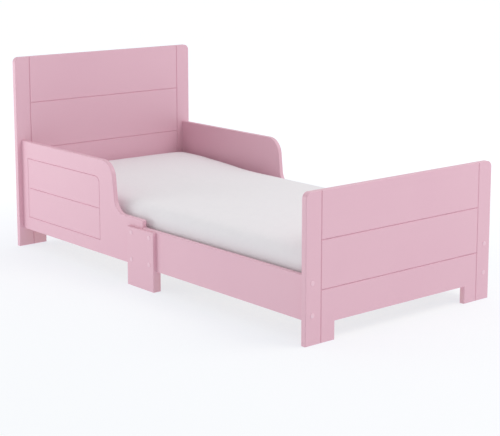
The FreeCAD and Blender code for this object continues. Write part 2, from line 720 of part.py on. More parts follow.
def centre_cross_beam(doc, label):
    """Beam across the bed at the side joint. Its frame is at the middle of its top."""
    body = make_body(doc, label, y=JOINT, z=SLAT_UNDERSIDE)
    half_length = f"({SIDE_BACK} - sizes.beam_end_clear)"
    outline = make_sketch(body, f"{label}_outline", "XZ_Plane")
    draw_box(outline, f"-{half_length}", half_length, "-sizes.beam_height", "0")
    pad(body, outline, "sizes.beam_thick", both=True)

    pilots = make_sketch(body, f"{label}_bracket_pilots", "XZ_Plane", lift="-sizes.beam_thick / 2")
    for sign in ("-", ""):
        for place in BRACKET_SCREWS:
            draw_circle(pilots, f"{sign}({SIDE_BACK} - {place})",
                        f"({BRACKET_MIDDLE} - {SLAT_UNDERSIDE})", PILOT)
    pocket(body, pilots, f"{BRACKET_SCREW_BITE} + sizes.fit_clear", reverse=True)
    return body


def beam_bracket(doc, label, side):
    """Steel angle between a side board and the beam. Its frame is at its inside corner."""
    body = make_body(doc, label, x=f"{side} * {SIDE_BACK}", y=BEAM_FACE, z=BRACKET_TOP)
    section = make_sketch(body, f"{label}_section", "XY_Plane")
    reach = f"(-{side} * sizes.bracket_leg)"
    wall = f"(-{side} * sizes.bracket_thick)"
    draw_polygon(section, (
        ("0", "0"),
        (reach, "0"),
        (reach, "sizes.bracket_thick"),
        (wall, "sizes.bracket_thick"),
        (wall, "sizes.bracket_leg"),
        ("0", "sizes.bracket_leg"),
    ))
    pad(body, section, "sizes.bracket_height", reverse=True)

    on_beam = make_sketch(body, f"{label}_beam_holes", "XZ_Plane")
    on_side = make_sketch(body, f"{label}_side_holes", "YZ_Plane")
    for place in BRACKET_SCREWS:
        draw_circle(on_beam, f"-{side} * {place}", "-sizes.bracket_height / 2", PILOT)
        draw_circle(on_side, place, "-sizes.bracket_height / 2", PILOT)
    pocket(body, on_beam, "sizes.bracket_thick")
    pocket(body, on_side, "sizes.bracket_thick", reverse=side < 0)
    return body


def mattress(doc, label):
    """Soft mattress as a plain rounded block, standing clear of the frame all round."""
    body = make_body(doc, label, z=f"{SLAT_TOP} + sizes.mattress_seat")
    half_width = f"({SIDE_BACK} - sizes.mattress_clear)"
    half_length = f"({INNER_END} - sizes.mattress_clear)"
    outline = make_sketch(body, f"{label}_outline", "XY_Plane")
    draw_box(outline, f"-{half_width}", half_width, f"-{half_length}", half_length)
    pad(body, outline, "sizes.mattress_thick")
    fillet(body, f"{label}_corners", "sizes.mattress_corner_radius", lambda edge: runs_along(edge, 2))
    fillet(body, f"{label}_edges", "sizes.mattress_edge_radius",
           lambda edge: edge.BoundBox.ZLength < 1e-4)
    return body


# ---------------------------------------------------------------- fasteners


def bolt_profile(length):
    """Half profile of a connector bolt: across, and along it from the board's face outward."""
    head = "(sizes.bolt_head / 2)"
    shank = "(sizes.bolt_shank / 2)"
    under = f"({BOLT_HEAD_TOP} - sizes.bolt_head_thick)"
    tip = f"({under} - {length})"
    return (
        ("0", tip), (shank, tip), (shank, under), (head, under),
        (head, BOLT_HEAD_TOP), ("0", BOLT_HEAD_TOP),
    )


def cap_profile():
    """Half profile of a bolt cover: a stem in the head seat and a thin domed flange."""
    stem = "(sizes.bolt_head / 2)"
    flange = "(sizes.cap_flange / 2)"
    return (
        ("0", "-sizes.cap_stem_depth"),
        (stem, "-sizes.cap_stem_depth"),
        (stem, "0"),
        (flange, "0"),
        (flange, "sizes.cap_rim"),
        ("(sizes.cap_flange * 0.36)", "(sizes.cap_rise * 0.88)"),
        ("0", "sizes.cap_rise"),
    )


def screw_profile(length, head_top="0"):
    """Half profile of a pan-head screw whose head's top is at head_top."""
    under = f"({head_top} - sizes.screw_head_thick)"
    tip = f"({under} - {length})"
    point = f"({tip} + sizes.screw_shank)"
    return (
        ("0", tip), ("sizes.screw_shank / 2", point), ("sizes.screw_shank / 2", under),
        ("sizes.screw_head / 2", under), ("sizes.screw_head / 2", head_top), ("0", head_top),
    )


def rod_profile(radius, low, high):
    """Half profile of a plain rod."""
    return (("0", low), (radius, low), (radius, high), ("0", high))


def along_v(profile, sign=1, start="0"):
    """Profile whose length runs along the sketch's second direction, from start."""
    return tuple((across, f"({start} + {sign} * {length})") for across, length in profile)


def along_h(profile, sign=1, start="0"):
    """Profile whose length runs along the sketch's first direction, from start."""
    return tuple((f"({start} + {sign} * {length})", across) for across, length in profile)


def end_board_fasteners(doc, label, at_head, bolt_pitch, profile):
    """Four turned pieces in an end board. The frame is on its outer face at the first bolt."""
    side = 1 if at_head else -1
    body = make_body(doc, label, x=f"-{SIDE_MIDDLE}", y=f"{side} * {HALF_LENGTH}", z=LOW_BOLT)
    piece = turned(body, f"{label}_first", "XY_Plane", "V_Axis", along_v(profile, side))
    copies(body, f"{label}_set", [piece], (("X", f"2 * {SIDE_MIDDLE}", "2"), ("Z", bolt_pitch, "2")))
    return body


def leg_fasteners(doc, label, profile, face):
    """Four turned pieces in each leg or behind it, whose lengths start at a face across X."""
    body = make_body(doc, label, y=f"{JOINT} - sizes.leg_bolt_pitch_along / 2", z=LOW_BOLT)
    pieces = [
        turned(body, f"{label}_{word}", "XZ_Plane", "H_Axis", along_h(profile, side, f"{side} * {face}"))
        for side, word in ((LEFT, "left"), (RIGHT, "right"))
    ]
    copies(body, f"{label}_set", pieces,
           (("Y", "sizes.leg_bolt_pitch_along", "2"), ("Z", LEG_BOLT_PITCH, "2")))
    return body


def leg_sleeve_profile():
    """Half profile of a threaded sleeve, flush with the side board's outer face."""
    bore = "(sizes.bolt_shank / 2 + sizes.fit_clear / 2)"
    wall = "(sizes.sleeve_diameter / 2)"
    return ((bore, "-sizes.sleeve_length"), (wall, "-sizes.sleeve_length"), (wall, "0"), (bore, "0"))


def barrel_nuts(doc, label, at_head, bolt_pitch):
    """Cross nuts in the side boards' ends. The frame is level with the lower ones."""
    side = 1 if at_head else -1
    body = make_body(doc, label, y=f"{side} * ({INNER_END} - sizes.nut_from_end)", z=LOW_BOLT)
    half = "sizes.nut_length / 2"
    pieces = [
        turned(body, f"{label}_{word}", "XZ_Plane", "H_Axis",
               along_h(rod_profile("sizes.nut_diameter / 2", f"-{half}", half), way,
                       f"{way} * {SIDE_MIDDLE}"))
        for way, word in ((LEFT, "left"), (RIGHT, "right"))
    ]
    threads = make_sketch(body, f"{label}_threads", "XZ_Plane")
    for sign in ("-", ""):
        draw_circle(threads, f"{sign}{SIDE_MIDDLE}", "0", "sizes.bolt_shank + sizes.fit_clear")
    pieces.append(pocket(body, threads, "2 * sizes.nut_diameter", both=True))
    copies(body, f"{label}_set", pieces, (("Z", bolt_pitch, "2"),))
    return body


def dowels(doc, label, at_head, low, pitch):
    """Wood dowels between an end board and both side boards. The frame is on the inner face."""
    side = 1 if at_head else -1
    body = make_body(doc, label, x=f"-{SIDE_MIDDLE}", y=f"{side} * {INNER_END}", z=low)
    radius = "(sizes.dowel_diameter / 2)"
    bevel = "(sizes.dowel_diameter / 8)"
    outer = "sizes.dowel_in_board"
    inner = f"-{DOWEL_IN_SIDE}"
    profile = (
        ("0", inner), (f"{radius} - {bevel}", inner), (radius, f"({inner} + {bevel})"),
        (radius, f"({outer} - {bevel})"), (f"{radius} - {bevel}", outer), ("0", outer),
    )
    piece = turned(body, f"{label}_first", "XY_Plane", "V_Axis", along_v(profile, side))
    steps = [("X", f"2 * {SIDE_MIDDLE}", "2")]
    if pitch is not None:
        steps.append(("Z", pitch, "2"))
    copies(body, f"{label}_set", [piece], steps)
    return body


def slat_screws(doc, label):
    """One screw at each end of each slat. The frame is at the foot end's left screw."""
    body = make_body(doc, label, x=f"-{SLAT_SCREW_X}", y=f"-{SLAT_FIRST}",
                     z=f"{SLAT_TOP} - {SCREW_HEAD_SUNK}")
    piece = turned(body, f"{label}_first", "XZ_Plane", "V_Axis",
                   along_v(screw_profile("sizes.slat_screw_length")))
    copies(body, f"{label}_set", [piece],
           (("X", f"2 * {SLAT_SCREW_X}", "2"), ("Y", f"2 * {SLAT_FIRST}", "sizes.slat_count")))
    return body


def cleat_screws(doc, label):
    """Screws that hold the four cleats on the sides. The frame is level with them."""
    body = make_body(doc, label, z=CLEAT_MIDDLE)
    profile = screw_profile("sizes.cleat_screw_length")
    for word, first in (("head", CLEAT_SCREW_NEAR), ("foot", f"-{CLEAT_SCREW_FAR}")):
        pieces = [
            turned(body, f"{label}_{word}_{name}", "XZ_Plane", "H_Axis",
                   along_h(profile, -side, f"{side} * ({CLEAT_BACK} + {SCREW_HEAD_SUNK})"),
                   ("0", "0", f"-({first})"))
            for side, name in ((LEFT, "left"), (RIGHT, "right"))
        ]
        copies(body, f"{label}_{word}_set", pieces,
               (("Y", CLEAT_SCREW_SPREAD, "sizes.cleat_screw_count"),))
    return body


def bracket_screws(doc, label):
    """Two screws in each leg of both beam brackets. The frame is level with them."""
    body = make_body(doc, label, y=BEAM_FACE, z=BRACKET_MIDDLE)
    profile = screw_profile("sizes.bracket_screw_length", "sizes.screw_head_thick")
    first, second = BRACKET_SCREWS
    on_sides = [
        turned(body, f"{label}_side_{word}", "XZ_Plane", "H_Axis",
               along_h(profile, -side, f"{side} * ({SIDE_BACK} - sizes.bracket_thick)"),
               ("0", "0", f"-({first})"))
        for side, word in ((LEFT, "left"), (RIGHT, "right"))
    ]
    copies(body, f"{label}_side_set", on_sides, (("Y", "sizes.bracket_screw_pitch", "2"),))
    on_beam = [
        turned(body, f"{label}_beam_{word}", "XY_Plane", "V_Axis",
               along_v(profile, 1, "sizes.bracket_thick"), (across, "0", "0"))
        for word, across in (("left", f"-({SIDE_BACK} - {first})"), ("right", f"{SIDE_BACK} - {second}"))
    ]
    copies(body, f"{label}_beam_set", on_beam, (("X", "sizes.bracket_screw_pitch", "2"),))
    return body


# ---------------------------------------------------------------- the bed


def build(doc):
    """Every piece of the bed, in the order it would be put together."""
    head_planks = ("sizes.head_plank_upper", "sizes.head_plank_middle")
    foot_planks = ("sizes.foot_plank_upper", "sizes.foot_plank_middle")
    head_pitch, foot_pitch = GUARD_BOLT_PITCH, RAIL_BOLT_PITCH
    head_dowels = (HEAD_DOWEL, "sizes.head_dowel_pitch")
    foot_dowels = (FOOT_DOWEL, None)
    pieces = [
        end_board(doc, "headboard_panel", "sizes.headboard_height", head_planks, True,
                  head_pitch, *head_dowels),
        end_board(doc, "footboard_panel", "sizes.footboard_height", foot_planks, False,
                  foot_pitch, *foot_dowels),
    ]
    for side, word in ((LEFT, "left"), (RIGHT, "right")):
        pieces += [
            guard_panel(doc, f"guard_panel_{word}", side),
            foot_rail(doc, f"foot_rail_{word}", side),
            centre_leg(doc, f"centre_leg_{word}", side),
            cleat(doc, f"head_cleat_{word}", side, HEAD_CLEAT_START, CLEAT_HEAD_END, CLEAT_SCREW_NEAR),
            cleat(doc, f"foot_cleat_{word}", side, f"-{CLEAT_HEAD_END}", FOOT_CLEAT_END,
                  f"-{CLEAT_SCREW_FAR}"),
            beam_bracket(doc, f"beam_bracket_{word}", side),
        ]
    pieces.append(centre_cross_beam(doc, "centre_cross_beam"))
    for number, place in enumerate(slat_places(pieces[0]), 1):
        pieces.append(slat(doc, f"slat_{number:02d}", place))
    pieces.append(mattress(doc, "mattress"))

    end_length = "(sizes.end_board_thick - sizes.head_seat_depth + sizes.bolt_reach - sizes.bolt_tip_clear)"
    leg_length = "(sizes.leg_proud - sizes.head_seat_depth + sizes.sleeve_length - sizes.bolt_tip_clear)"
    for word, at_head, pitch, (low, dowel_pitch) in (
        ("headboard", True, head_pitch, head_dowels),
        ("footboard", False, foot_pitch, foot_dowels),
    ):
        pieces += [
            end_board_fasteners(doc, f"{word}_bolts", at_head, pitch, bolt_profile(end_length)),
            end_board_fasteners(doc, f"{word}_bolt_caps", at_head, pitch, cap_profile()),
            barrel_nuts(doc, f"{word}_barrel_nuts", at_head, pitch),
            dowels(doc, f"{word}_dowels", at_head, low, dowel_pitch),
        ]
    pieces += [
        leg_fasteners(doc, "leg_bolts", bolt_profile(leg_length), LEG_FACE),
        leg_fasteners(doc, "leg_bolt_caps", cap_profile(), LEG_FACE),
        leg_fasteners(doc, "leg_inserts", leg_sleeve_profile(), SIDE_FACE),
        slat_screws(doc, "slat_screws"),
        cleat_screws(doc, "cleat_screws"),
        bracket_screws(doc, "bracket_screws"),
    ]
    return pieces


def check(doc, pieces):
    """Stop if any feature failed to build or any piece is empty or faulty."""
    for item in doc.Objects:
        if "Invalid" in item.State or "Error" in item.State:
            raise RuntimeError(f"{item.Name} did not build: {item.State}")
    for body in pieces:
        if body.Shape.isNull() or not body.Shape.isValid():
            raise RuntimeError(f"{body.Label} has no valid shape")
        if not body.Shape.Solids:
            raise RuntimeError(f"{body.Label} has no solid")


def main():
    """Build the document, check it and write one STEP file for each piece."""
    doc = FreeCAD.newDocument("toddler_bed")
    make_sheet(doc)
    pieces = build(doc)
    doc.recompute()
    check(doc, pieces)
    os.makedirs("parts", exist_ok=True)
    for body in pieces:
        body.Shape.exportStep(f"parts/{body.Label}.step")
    print(f"{len(pieces)} pieces written")


main()
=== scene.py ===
"""Looks of the toddler bed: its finishes, fittings and mattress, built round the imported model."""

import logging
import math
from collections.abc import Sequence
from dataclasses import dataclass, field
from enum import Enum
from functools import cache

import bmesh
import bpy
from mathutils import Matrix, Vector
from mathutils.bvhtree import BVHTree


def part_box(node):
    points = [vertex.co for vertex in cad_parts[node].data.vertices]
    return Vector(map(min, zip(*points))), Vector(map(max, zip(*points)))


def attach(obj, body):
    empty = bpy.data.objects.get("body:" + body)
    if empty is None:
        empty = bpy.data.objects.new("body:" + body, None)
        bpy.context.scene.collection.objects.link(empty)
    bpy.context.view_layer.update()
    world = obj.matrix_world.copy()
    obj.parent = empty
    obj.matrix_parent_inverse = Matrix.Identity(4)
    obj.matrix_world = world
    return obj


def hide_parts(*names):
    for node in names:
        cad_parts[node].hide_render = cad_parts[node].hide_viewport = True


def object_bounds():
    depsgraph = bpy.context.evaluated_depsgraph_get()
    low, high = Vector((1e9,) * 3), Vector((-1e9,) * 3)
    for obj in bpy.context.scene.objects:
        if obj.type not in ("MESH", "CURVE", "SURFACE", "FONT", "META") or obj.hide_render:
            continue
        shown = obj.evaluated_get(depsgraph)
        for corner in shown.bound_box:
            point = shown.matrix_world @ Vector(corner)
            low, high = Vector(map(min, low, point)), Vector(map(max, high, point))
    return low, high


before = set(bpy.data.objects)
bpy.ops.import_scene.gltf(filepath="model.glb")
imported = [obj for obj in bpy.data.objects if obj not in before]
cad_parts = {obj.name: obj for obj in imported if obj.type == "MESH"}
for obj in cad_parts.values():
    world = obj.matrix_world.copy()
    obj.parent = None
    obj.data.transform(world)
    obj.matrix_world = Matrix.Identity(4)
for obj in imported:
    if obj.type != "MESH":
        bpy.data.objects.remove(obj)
CAD_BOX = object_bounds()

LOG = logging.getLogger("toddler_bed")
MM = 0.001

Colour = tuple[float, float, float, float]
Point = tuple[float, float]
Triple = tuple[float, float, float]
Inputs = dict[str | int, object]
Tree = bpy.types.NodeTree
NamedTree = tuple[Tree, dict[str, str]]
Socket = bpy.types.NodeSocket
Solid = bmesh.types.BMesh
Ring = list[bmesh.types.BMVert]

WHITE: Colour = (1.0, 1.0, 1.0, 1.0)
NOISE_SPAN: Point = (0.3, 0.7)
# Sockets of a Mix node that mixes colours, by number because their names repeat.
MIX_SHARE, MIX_FIRST, MIX_SECOND, MIX_RESULT = 0, 6, 7, 2
# Period of a wave texture at a scale of one, in metres.
WAVE_PERIOD = math.tau / 20
X_AXIS, Y_AXIS, Z_AXIS = 0, 1, 2


class Grain(Enum):
    """Direction in which the fibres of a piece of timber run."""

    ACROSS_BED = "X"
    ALONG_BED = "Y"


# ---------------------------------------------------------------- shared helpers


def linear(code: str) -> Colour:
    """Linear colour of an sRGB hex code.

    Args:
        code: Six hex digits.

    Returns:
        Red, green, blue and an alpha of one.
    """
    channels = (int(code[place:place + 2], 16) / 255 for place in (0, 2, 4))
    red, green, blue = (c / 12.92 if c <= 0.04045 else ((c + 0.055) / 1.055) ** 2.4 for c in channels)
    return red, green, blue, 1.0


def per_metre(size_mm: float) -> float:
    """Texture scale whose features are about size_mm apart."""
    return 1 / (size_mm * MM)


def add_node(
    tree: Tree,
    kind: str,
    settings: dict[str, object] | None = None,
    inputs: Inputs | None = None,
) -> bpy.types.Node:
    """Add a node with its settings, values and links.

    Args:
        tree: Node tree that gets the node.
        kind: Node type.
        settings: Properties of the node.
        inputs: Socket name or number to a value, or to the socket that feeds it.

    Returns:
        The new node.
    """
    node = tree.nodes.new(kind)
    for name, value in (settings or {}).items():
        setattr(node, name, value)
    for key, value in (inputs or {}).items():
        if isinstance(value, Socket):
            tree.links.new(value, node.inputs[key])
        else:
            node.inputs[key].default_value = value
    return node


def new_object(name: str, data: bpy.types.ID) -> bpy.types.Object:
    """Object for a mesh, lamp or camera, at the origin and in the scene."""
    item = bpy.data.objects.new(name, data)
    bpy.context.scene.collection.objects.link(item)
    return item


def mesh_from(name: str, solid: Solid, smooth: bool = True) -> bpy.types.Mesh:
    """Mesh from a finished bmesh, which is freed.

    Args:
        name: Name of the mesh.
        solid: Closed shape.
        smooth: Whether its faces are shaded smooth.

    Returns:
        The mesh, with its faces outwards.
    """
    bmesh.ops.remove_doubles(solid, verts=solid.verts, dist=1e-7)
    bmesh.ops.recalc_face_normals(solid, faces=solid.faces)
    for face in solid.faces:
        face.smooth = smooth
    mesh = bpy.data.meshes.new(name)
    solid.to_mesh(mesh)
    solid.free()
    return mesh


def evaluated_mesh(item: bpy.types.Object) -> bpy.types.Mesh:
    """Plain mesh of an object with its modifiers worked in."""
    graph = bpy.context.evaluated_depsgraph_get()
    return bpy.data.meshes.new_from_object(item.evaluated_get(graph))


def settle_modifiers(item: bpy.types.Object) -> None:
    """Replace an object's mesh by what its modifiers make, and drop them."""
    made = evaluated_mesh(item)
    item.modifiers.clear()
    old, item.data = item.data, made
    bpy.data.meshes.remove(old)


def circle(solid: Solid, radius: float, height: float, steps: int, turn: float = 0.0) -> Ring:
    """Points round the Z axis, or the one point on it where the radius is nought.

    Args:
        solid: Shape that gets the points.
        radius: Radius of the circle in metres.
        height: Its height.
        steps: Number of points.
        turn: How far the first point is turned on, as a share of a step.

    Returns:
        The points in order.
    """
    angles = (math.tau * (step + turn) / steps for step in range(steps if radius > 0 else 1))
    return [solid.verts.new((radius * math.cos(a), radius * math.sin(a), height)) for a in angles]


def join_rings(solid: Solid, rings: Sequence[Ring]) -> None:
    """Walls between rings that follow each other, where a ring of one point is a tip."""
    for low, high in zip(rings, rings[1:]):
        count = max(len(low), len(high))
        for step in range(count):
            ahead = (step + 1) % count
            corners = (low[step % len(low)], low[ahead % len(low)],
                       high[ahead % len(high)], high[step % len(high)])
            solid.faces.new(list(dict.fromkeys(corners)))


def lathe(solid: Solid, profile: Sequence[Point], steps: int) -> None:
    """Turn a closed profile round the Z axis.

    Args:
        solid: Shape that gets the faces.
        profile: Radius and height pairs in metres, from the axis and back to it.
        steps: Points round the circle.
    """
    join_rings(solid, [circle(solid, radius, height, steps) for radius, height in profile])


def solids_of(node: str) -> list[tuple[Vector, Vector]]:
    """Boxes of the separate solids in a CAD node.

    Args:
        node: Name of the node.

    Returns:
        Lowest and highest corner of each solid, in the row frame.
    """
    copy = bmesh.new()
    copy.from_mesh(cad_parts[node].data)
    bmesh.ops.remove_doubles(copy, verts=copy.verts, dist=1e-6)
    boxes = []
    waiting = set(copy.verts)
    while waiting:
        group, reached = set(), [waiting.pop()]
        while reached:
            vert = reached.pop()
            group.add(vert)
            for edge in vert.link_edges:
                other = edge.other_vert(vert)
                if other in waiting:
                    waiting.discard(other)
                    reached.append(other)
        spans = [[vert.co[axis] for vert in group] for axis in range(3)]
        boxes.append((Vector(map(min, spans)), Vector(map(max, spans))))
    copy.free()
    return sorted(boxes, key=lambda box: tuple(round(value, 4) for value in box[0]))


# ---------------------------------------------------------------- finishes


@dataclass(frozen=True)
class Finish:
    """A material and the record's slot that it belongs to.

    Attributes:
        name: Name of the material.
        slot: Slot in the record; not used.
    """

    name: str
    slot: str

    def colour_and_relief(self, tree: Tree, place: Socket) -> Inputs:
        """Inputs of the surface shader; each finish has its own."""
        raise NotImplementedError

    def build(self) -> bpy.types.Material:
        """Material with its nodes."""
        material = bpy.data.materials.new(self.name)
        material.use_nodes = True
        tree = material.node_tree
        tree.nodes.clear()
        coordinates = add_node(tree, "ShaderNodeTexCoord")
        inputs = self.colour_and_relief(tree, coordinates.outputs["Object"])
        shader = add_node(tree, "ShaderNodeBsdfPrincipled", inputs=inputs)
        add_node(tree, "ShaderNodeOutputMaterial", inputs={"Surface": shader.outputs["BSDF"]})
        return material


@cache
def material_of(finish: Finish) -> bpy.types.Material:
    """Material of a finish, built once."""
    return finish.build()


def noise(
    tree: Tree, place: Socket, size_mm: float, detail: float = 3.0, distortion: float = 0.0
) -> Socket:
    """Soft random pattern whose blotches are about size_mm wide."""
    made = add_node(tree, "ShaderNodeTexNoise",
                    inputs={"Vector": place, "Scale": per_metre(size_mm), "Detail": detail,
                            "Distortion": distortion})
    return made.outputs["Fac"]


def ramp(
    tree: Tree, value: Socket, start: float, end: float, low: float = 0.0, high: float = 1.0
) -> Socket:
    """Value that goes from low to high while the given one goes from start to end, and no further."""
    made = add_node(tree, "ShaderNodeMapRange",
                    inputs={"Value": value, "From Min": start, "From Max": end, "To Min": low, "To Max": high})
    return made.outputs["Result"]


def spread(tree: Tree, value: Socket, low: float, high: float) -> Socket:
    """Noise stretched to run from low to high."""
    return ramp(tree, value, *NOISE_SPAN, low, high)


def reckon(tree: Tree, operation: str, *values: object) -> Socket:
    """Result of a math node on numbers or sockets."""
    made = add_node(tree, "ShaderNodeMath", {"operation": operation}, dict(enumerate(values)))
    return made.outputs["Value"]


def blend_colours(tree: Tree, share: Socket, first: object, second: object) -> Socket:
    """Colour that goes from first to second with a pattern."""
    made = add_node(tree, "ShaderNodeMix", {"data_type": "RGBA"},
                    {MIX_SHARE: share, MIX_FIRST: first, MIX_SECOND: second})
    return made.outputs[MIX_RESULT]


def relief(tree: Tree, height: Socket, depth_mm: float, under: Socket | None = None) -> Socket:
    """Surface normal of a relief that is depth_mm deep, over another one if given."""
    inputs: Inputs = {"Height": height, "Distance": depth_mm * MM, "Strength": 1.0}
    if under is not None:
        inputs["Normal"] = under
    return add_node(tree, "ShaderNodeBump", inputs=inputs).outputs["Normal"]


def stretched(tree: Tree, place: Socket, grain: Grain, ratio: float) -> Socket:
    """Coordinates squeezed along the grain, so that a pattern on them is drawn out along it."""
    scale = (ratio, 1.0, 1.0) if grain is Grain.ACROSS_BED else (1.0, ratio, 1.0)
    return add_node(tree, "ShaderNodeMapping", inputs={"Vector": place, "Scale": scale}).outputs["Vector"]


@dataclass(frozen=True)
class SprayedLacquer(Finish):
    """Satin polyurethane lacquer sprayed on smooth board.

    It gives the eye an even pink with a soft, slightly pebbled sheen: spray dries with a peel of
    a few millimetres, and each board has faint drifts in tone and gloss where the coat is thicker.

    Attributes:
        tone: Main colour.
        thin_tone: Colour where the coat is a little thinner.
        peel_mm: Width of the pebbles of the dried spray.
        peel_depth_mm: Their height.
        drift_mm: Width of the drifts in tone and gloss.
    """

    tone: str = "e8bcca"
    thin_tone: str = "e5b7c7"
    peel_mm: float = 3.2
    peel_depth_mm: float = 0.012
    drift_mm: float = 240.0

    def colour_and_relief(self, tree: Tree, place: Socket) -> Inputs:
        """Pink that drifts slightly, with the peel as relief."""
        drift = noise(tree, place, self.drift_mm, 2.0)
        peel = relief(tree, noise(tree, place, self.peel_mm, 1.0), self.peel_depth_mm)
        return {
            "Base Color": blend_colours(tree, drift, linear(self.tone), linear(self.thin_tone)),
            "Roughness": spread(tree, drift, 0.36, 0.44),
            "IOR": 1.5,
            "Normal": peel,
        }


@dataclass(frozen=True)
class PlanedPine(Finish):
    """Planed pine without a finish.

    It gives the eye pale yellow early wood between narrow browner late wood, drawn out along the
    board, fine fibres, and now and then a darker knot.

    Attributes:
        early: Colour of the wide pale rings.
        late: Colour of the narrow dark rings.
        knot: Colour of a knot.
        grain: Direction of the fibres.
        ring_mm: Distance between rings on the face.
        ring_edge: Values of the pattern between which early wood turns into late wood.
        fibre_mm: Width of the fibres, drawn coarser than life so that they show.
        draw_out: Width of the pattern as a share of its length along the board.
        knot_mm: Distance between knots.
        knot_edge: Distances from a knot's middle between which it fades out, as shares of knot_mm.
    """

    early: str = "e6cda2"
    late: str = "cda46c"
    knot: str = "8c5c35"
    grain: Grain = Grain.ACROSS_BED
    ring_mm: float = 9.0
    ring_edge: Point = (0.48, 0.66)
    fibre_mm: float = 1.1
    draw_out: float = 0.06
    knot_mm: float = 170.0
    knot_edge: Point = (0.035, 0.07)

    def colour_and_relief(self, tree: Tree, place: Socket) -> Inputs:
        """Rings, fibres and knots along the grain."""
        along = stretched(tree, place, self.grain, self.draw_out)
        rings = ramp(tree, noise(tree, along, self.ring_mm, 2.0, 1.2), *self.ring_edge)
        fibres = noise(tree, along, self.fibre_mm, 2.0)
        knots = add_node(tree, "ShaderNodeTexVoronoi", {"feature": "F1"},
                         {"Vector": stretched(tree, place, self.grain, 0.5), "Scale": per_metre(self.knot_mm),
                          "Randomness": 1.0}).outputs["Distance"]
        in_knot = ramp(tree, knots, *self.knot_edge, 0.8, 0.0)
        wood = blend_colours(tree, rings, linear(self.early), linear(self.late))
        wood = blend_colours(tree, spread(tree, fibres, 0.0, 0.35), wood, linear(self.late))
        wood = blend_colours(tree, in_knot, wood, linear(self.knot))
        return {
            "Base Color": wood,
            "Roughness": spread(tree, fibres, 0.52, 0.68),
            "IOR": 1.5,
            "Normal": relief(tree, fibres, 0.05, relief(tree, rings, 0.04)),
        }


@dataclass(frozen=True)
class FlutedBeech(Finish):
    """Beech dowel rod: even, pinkish brown, with short dark flecks along the rod.

    Attributes:
        tone: Main colour.
        fleck: Colour of the flecks.
    """

    tone: str = "d2ab7d"
    fleck: str = "a9794c"

    def colour_and_relief(self, tree: Tree, place: Socket) -> Inputs:
        """Even wood with flecks along it."""
        flecks = noise(tree, stretched(tree, place, Grain.ALONG_BED, 0.2), 0.9, 1.0)
        return {
            "Base Color": blend_colours(tree, spread(tree, flecks, 0.0, 0.6),
                                        linear(self.tone), linear(self.fleck)),
            "Roughness": 0.6,
            "IOR": 1.5,
            "Normal": relief(tree, flecks, 0.03),
        }


@dataclass(frozen=True)
class ZincPlatedSteel(Finish):
    """Steel with bright zinc plate.

    It gives the eye a cool light grey metal that is a little cloudy, because the plate crystallises
    in patches, with fine marks from the tumbling barrel.

    Attributes:
        tone: Colour of the plate.
        cloud: Colour of the duller patches.
    """

    tone: str = "cdd0d3"
    cloud: str = "b3b7bc"

    def colour_and_relief(self, tree: Tree, place: Socket) -> Inputs:
        """Cloudy metal with tumbling marks."""
        clouds = noise(tree, place, 4.0)
        return {
            "Base Color": blend_colours(tree, clouds, linear(self.tone), linear(self.cloud)),
            "Metallic": 1.0,
            "Roughness": spread(tree, clouds, 0.24, 0.4),
            "Normal": relief(tree, noise(tree, place, 0.5, 2.0), 0.006),
        }


@dataclass(frozen=True)
class MouldedCap(Finish):
    """Injection-moulded polypropylene in the paint's pink.

    It gives the eye a paler, waxier pink than the lacquer, because light goes a little way into
    the plastic, with the fine grain of the mould on it.

    Attributes:
        tone: Main colour.
        thick_tone: Colour where the plastic is thicker.
        grain_mm: Width of the mould's grain.
    """

    tone: str = "f0cad7"
    thick_tone: str = "edc6d4"
    grain_mm: float = 0.6

    def colour_and_relief(self, tree: Tree, place: Socket) -> Inputs:
        """Waxy pink with a fine grain."""
        grain = noise(tree, place, self.grain_mm, 1.0)
        return {
            "Base Color": blend_colours(tree, noise(tree, place, 6.0),
                                        linear(self.tone), linear(self.thick_tone)),
            "Roughness": spread(tree, grain, 0.3, 0.38),
            "IOR": 1.49,
            "Subsurface Weight": 0.08,
            "Subsurface Radius": (0.002, 0.001, 0.001),
            "Normal": relief(tree, grain, 0.008),
        }


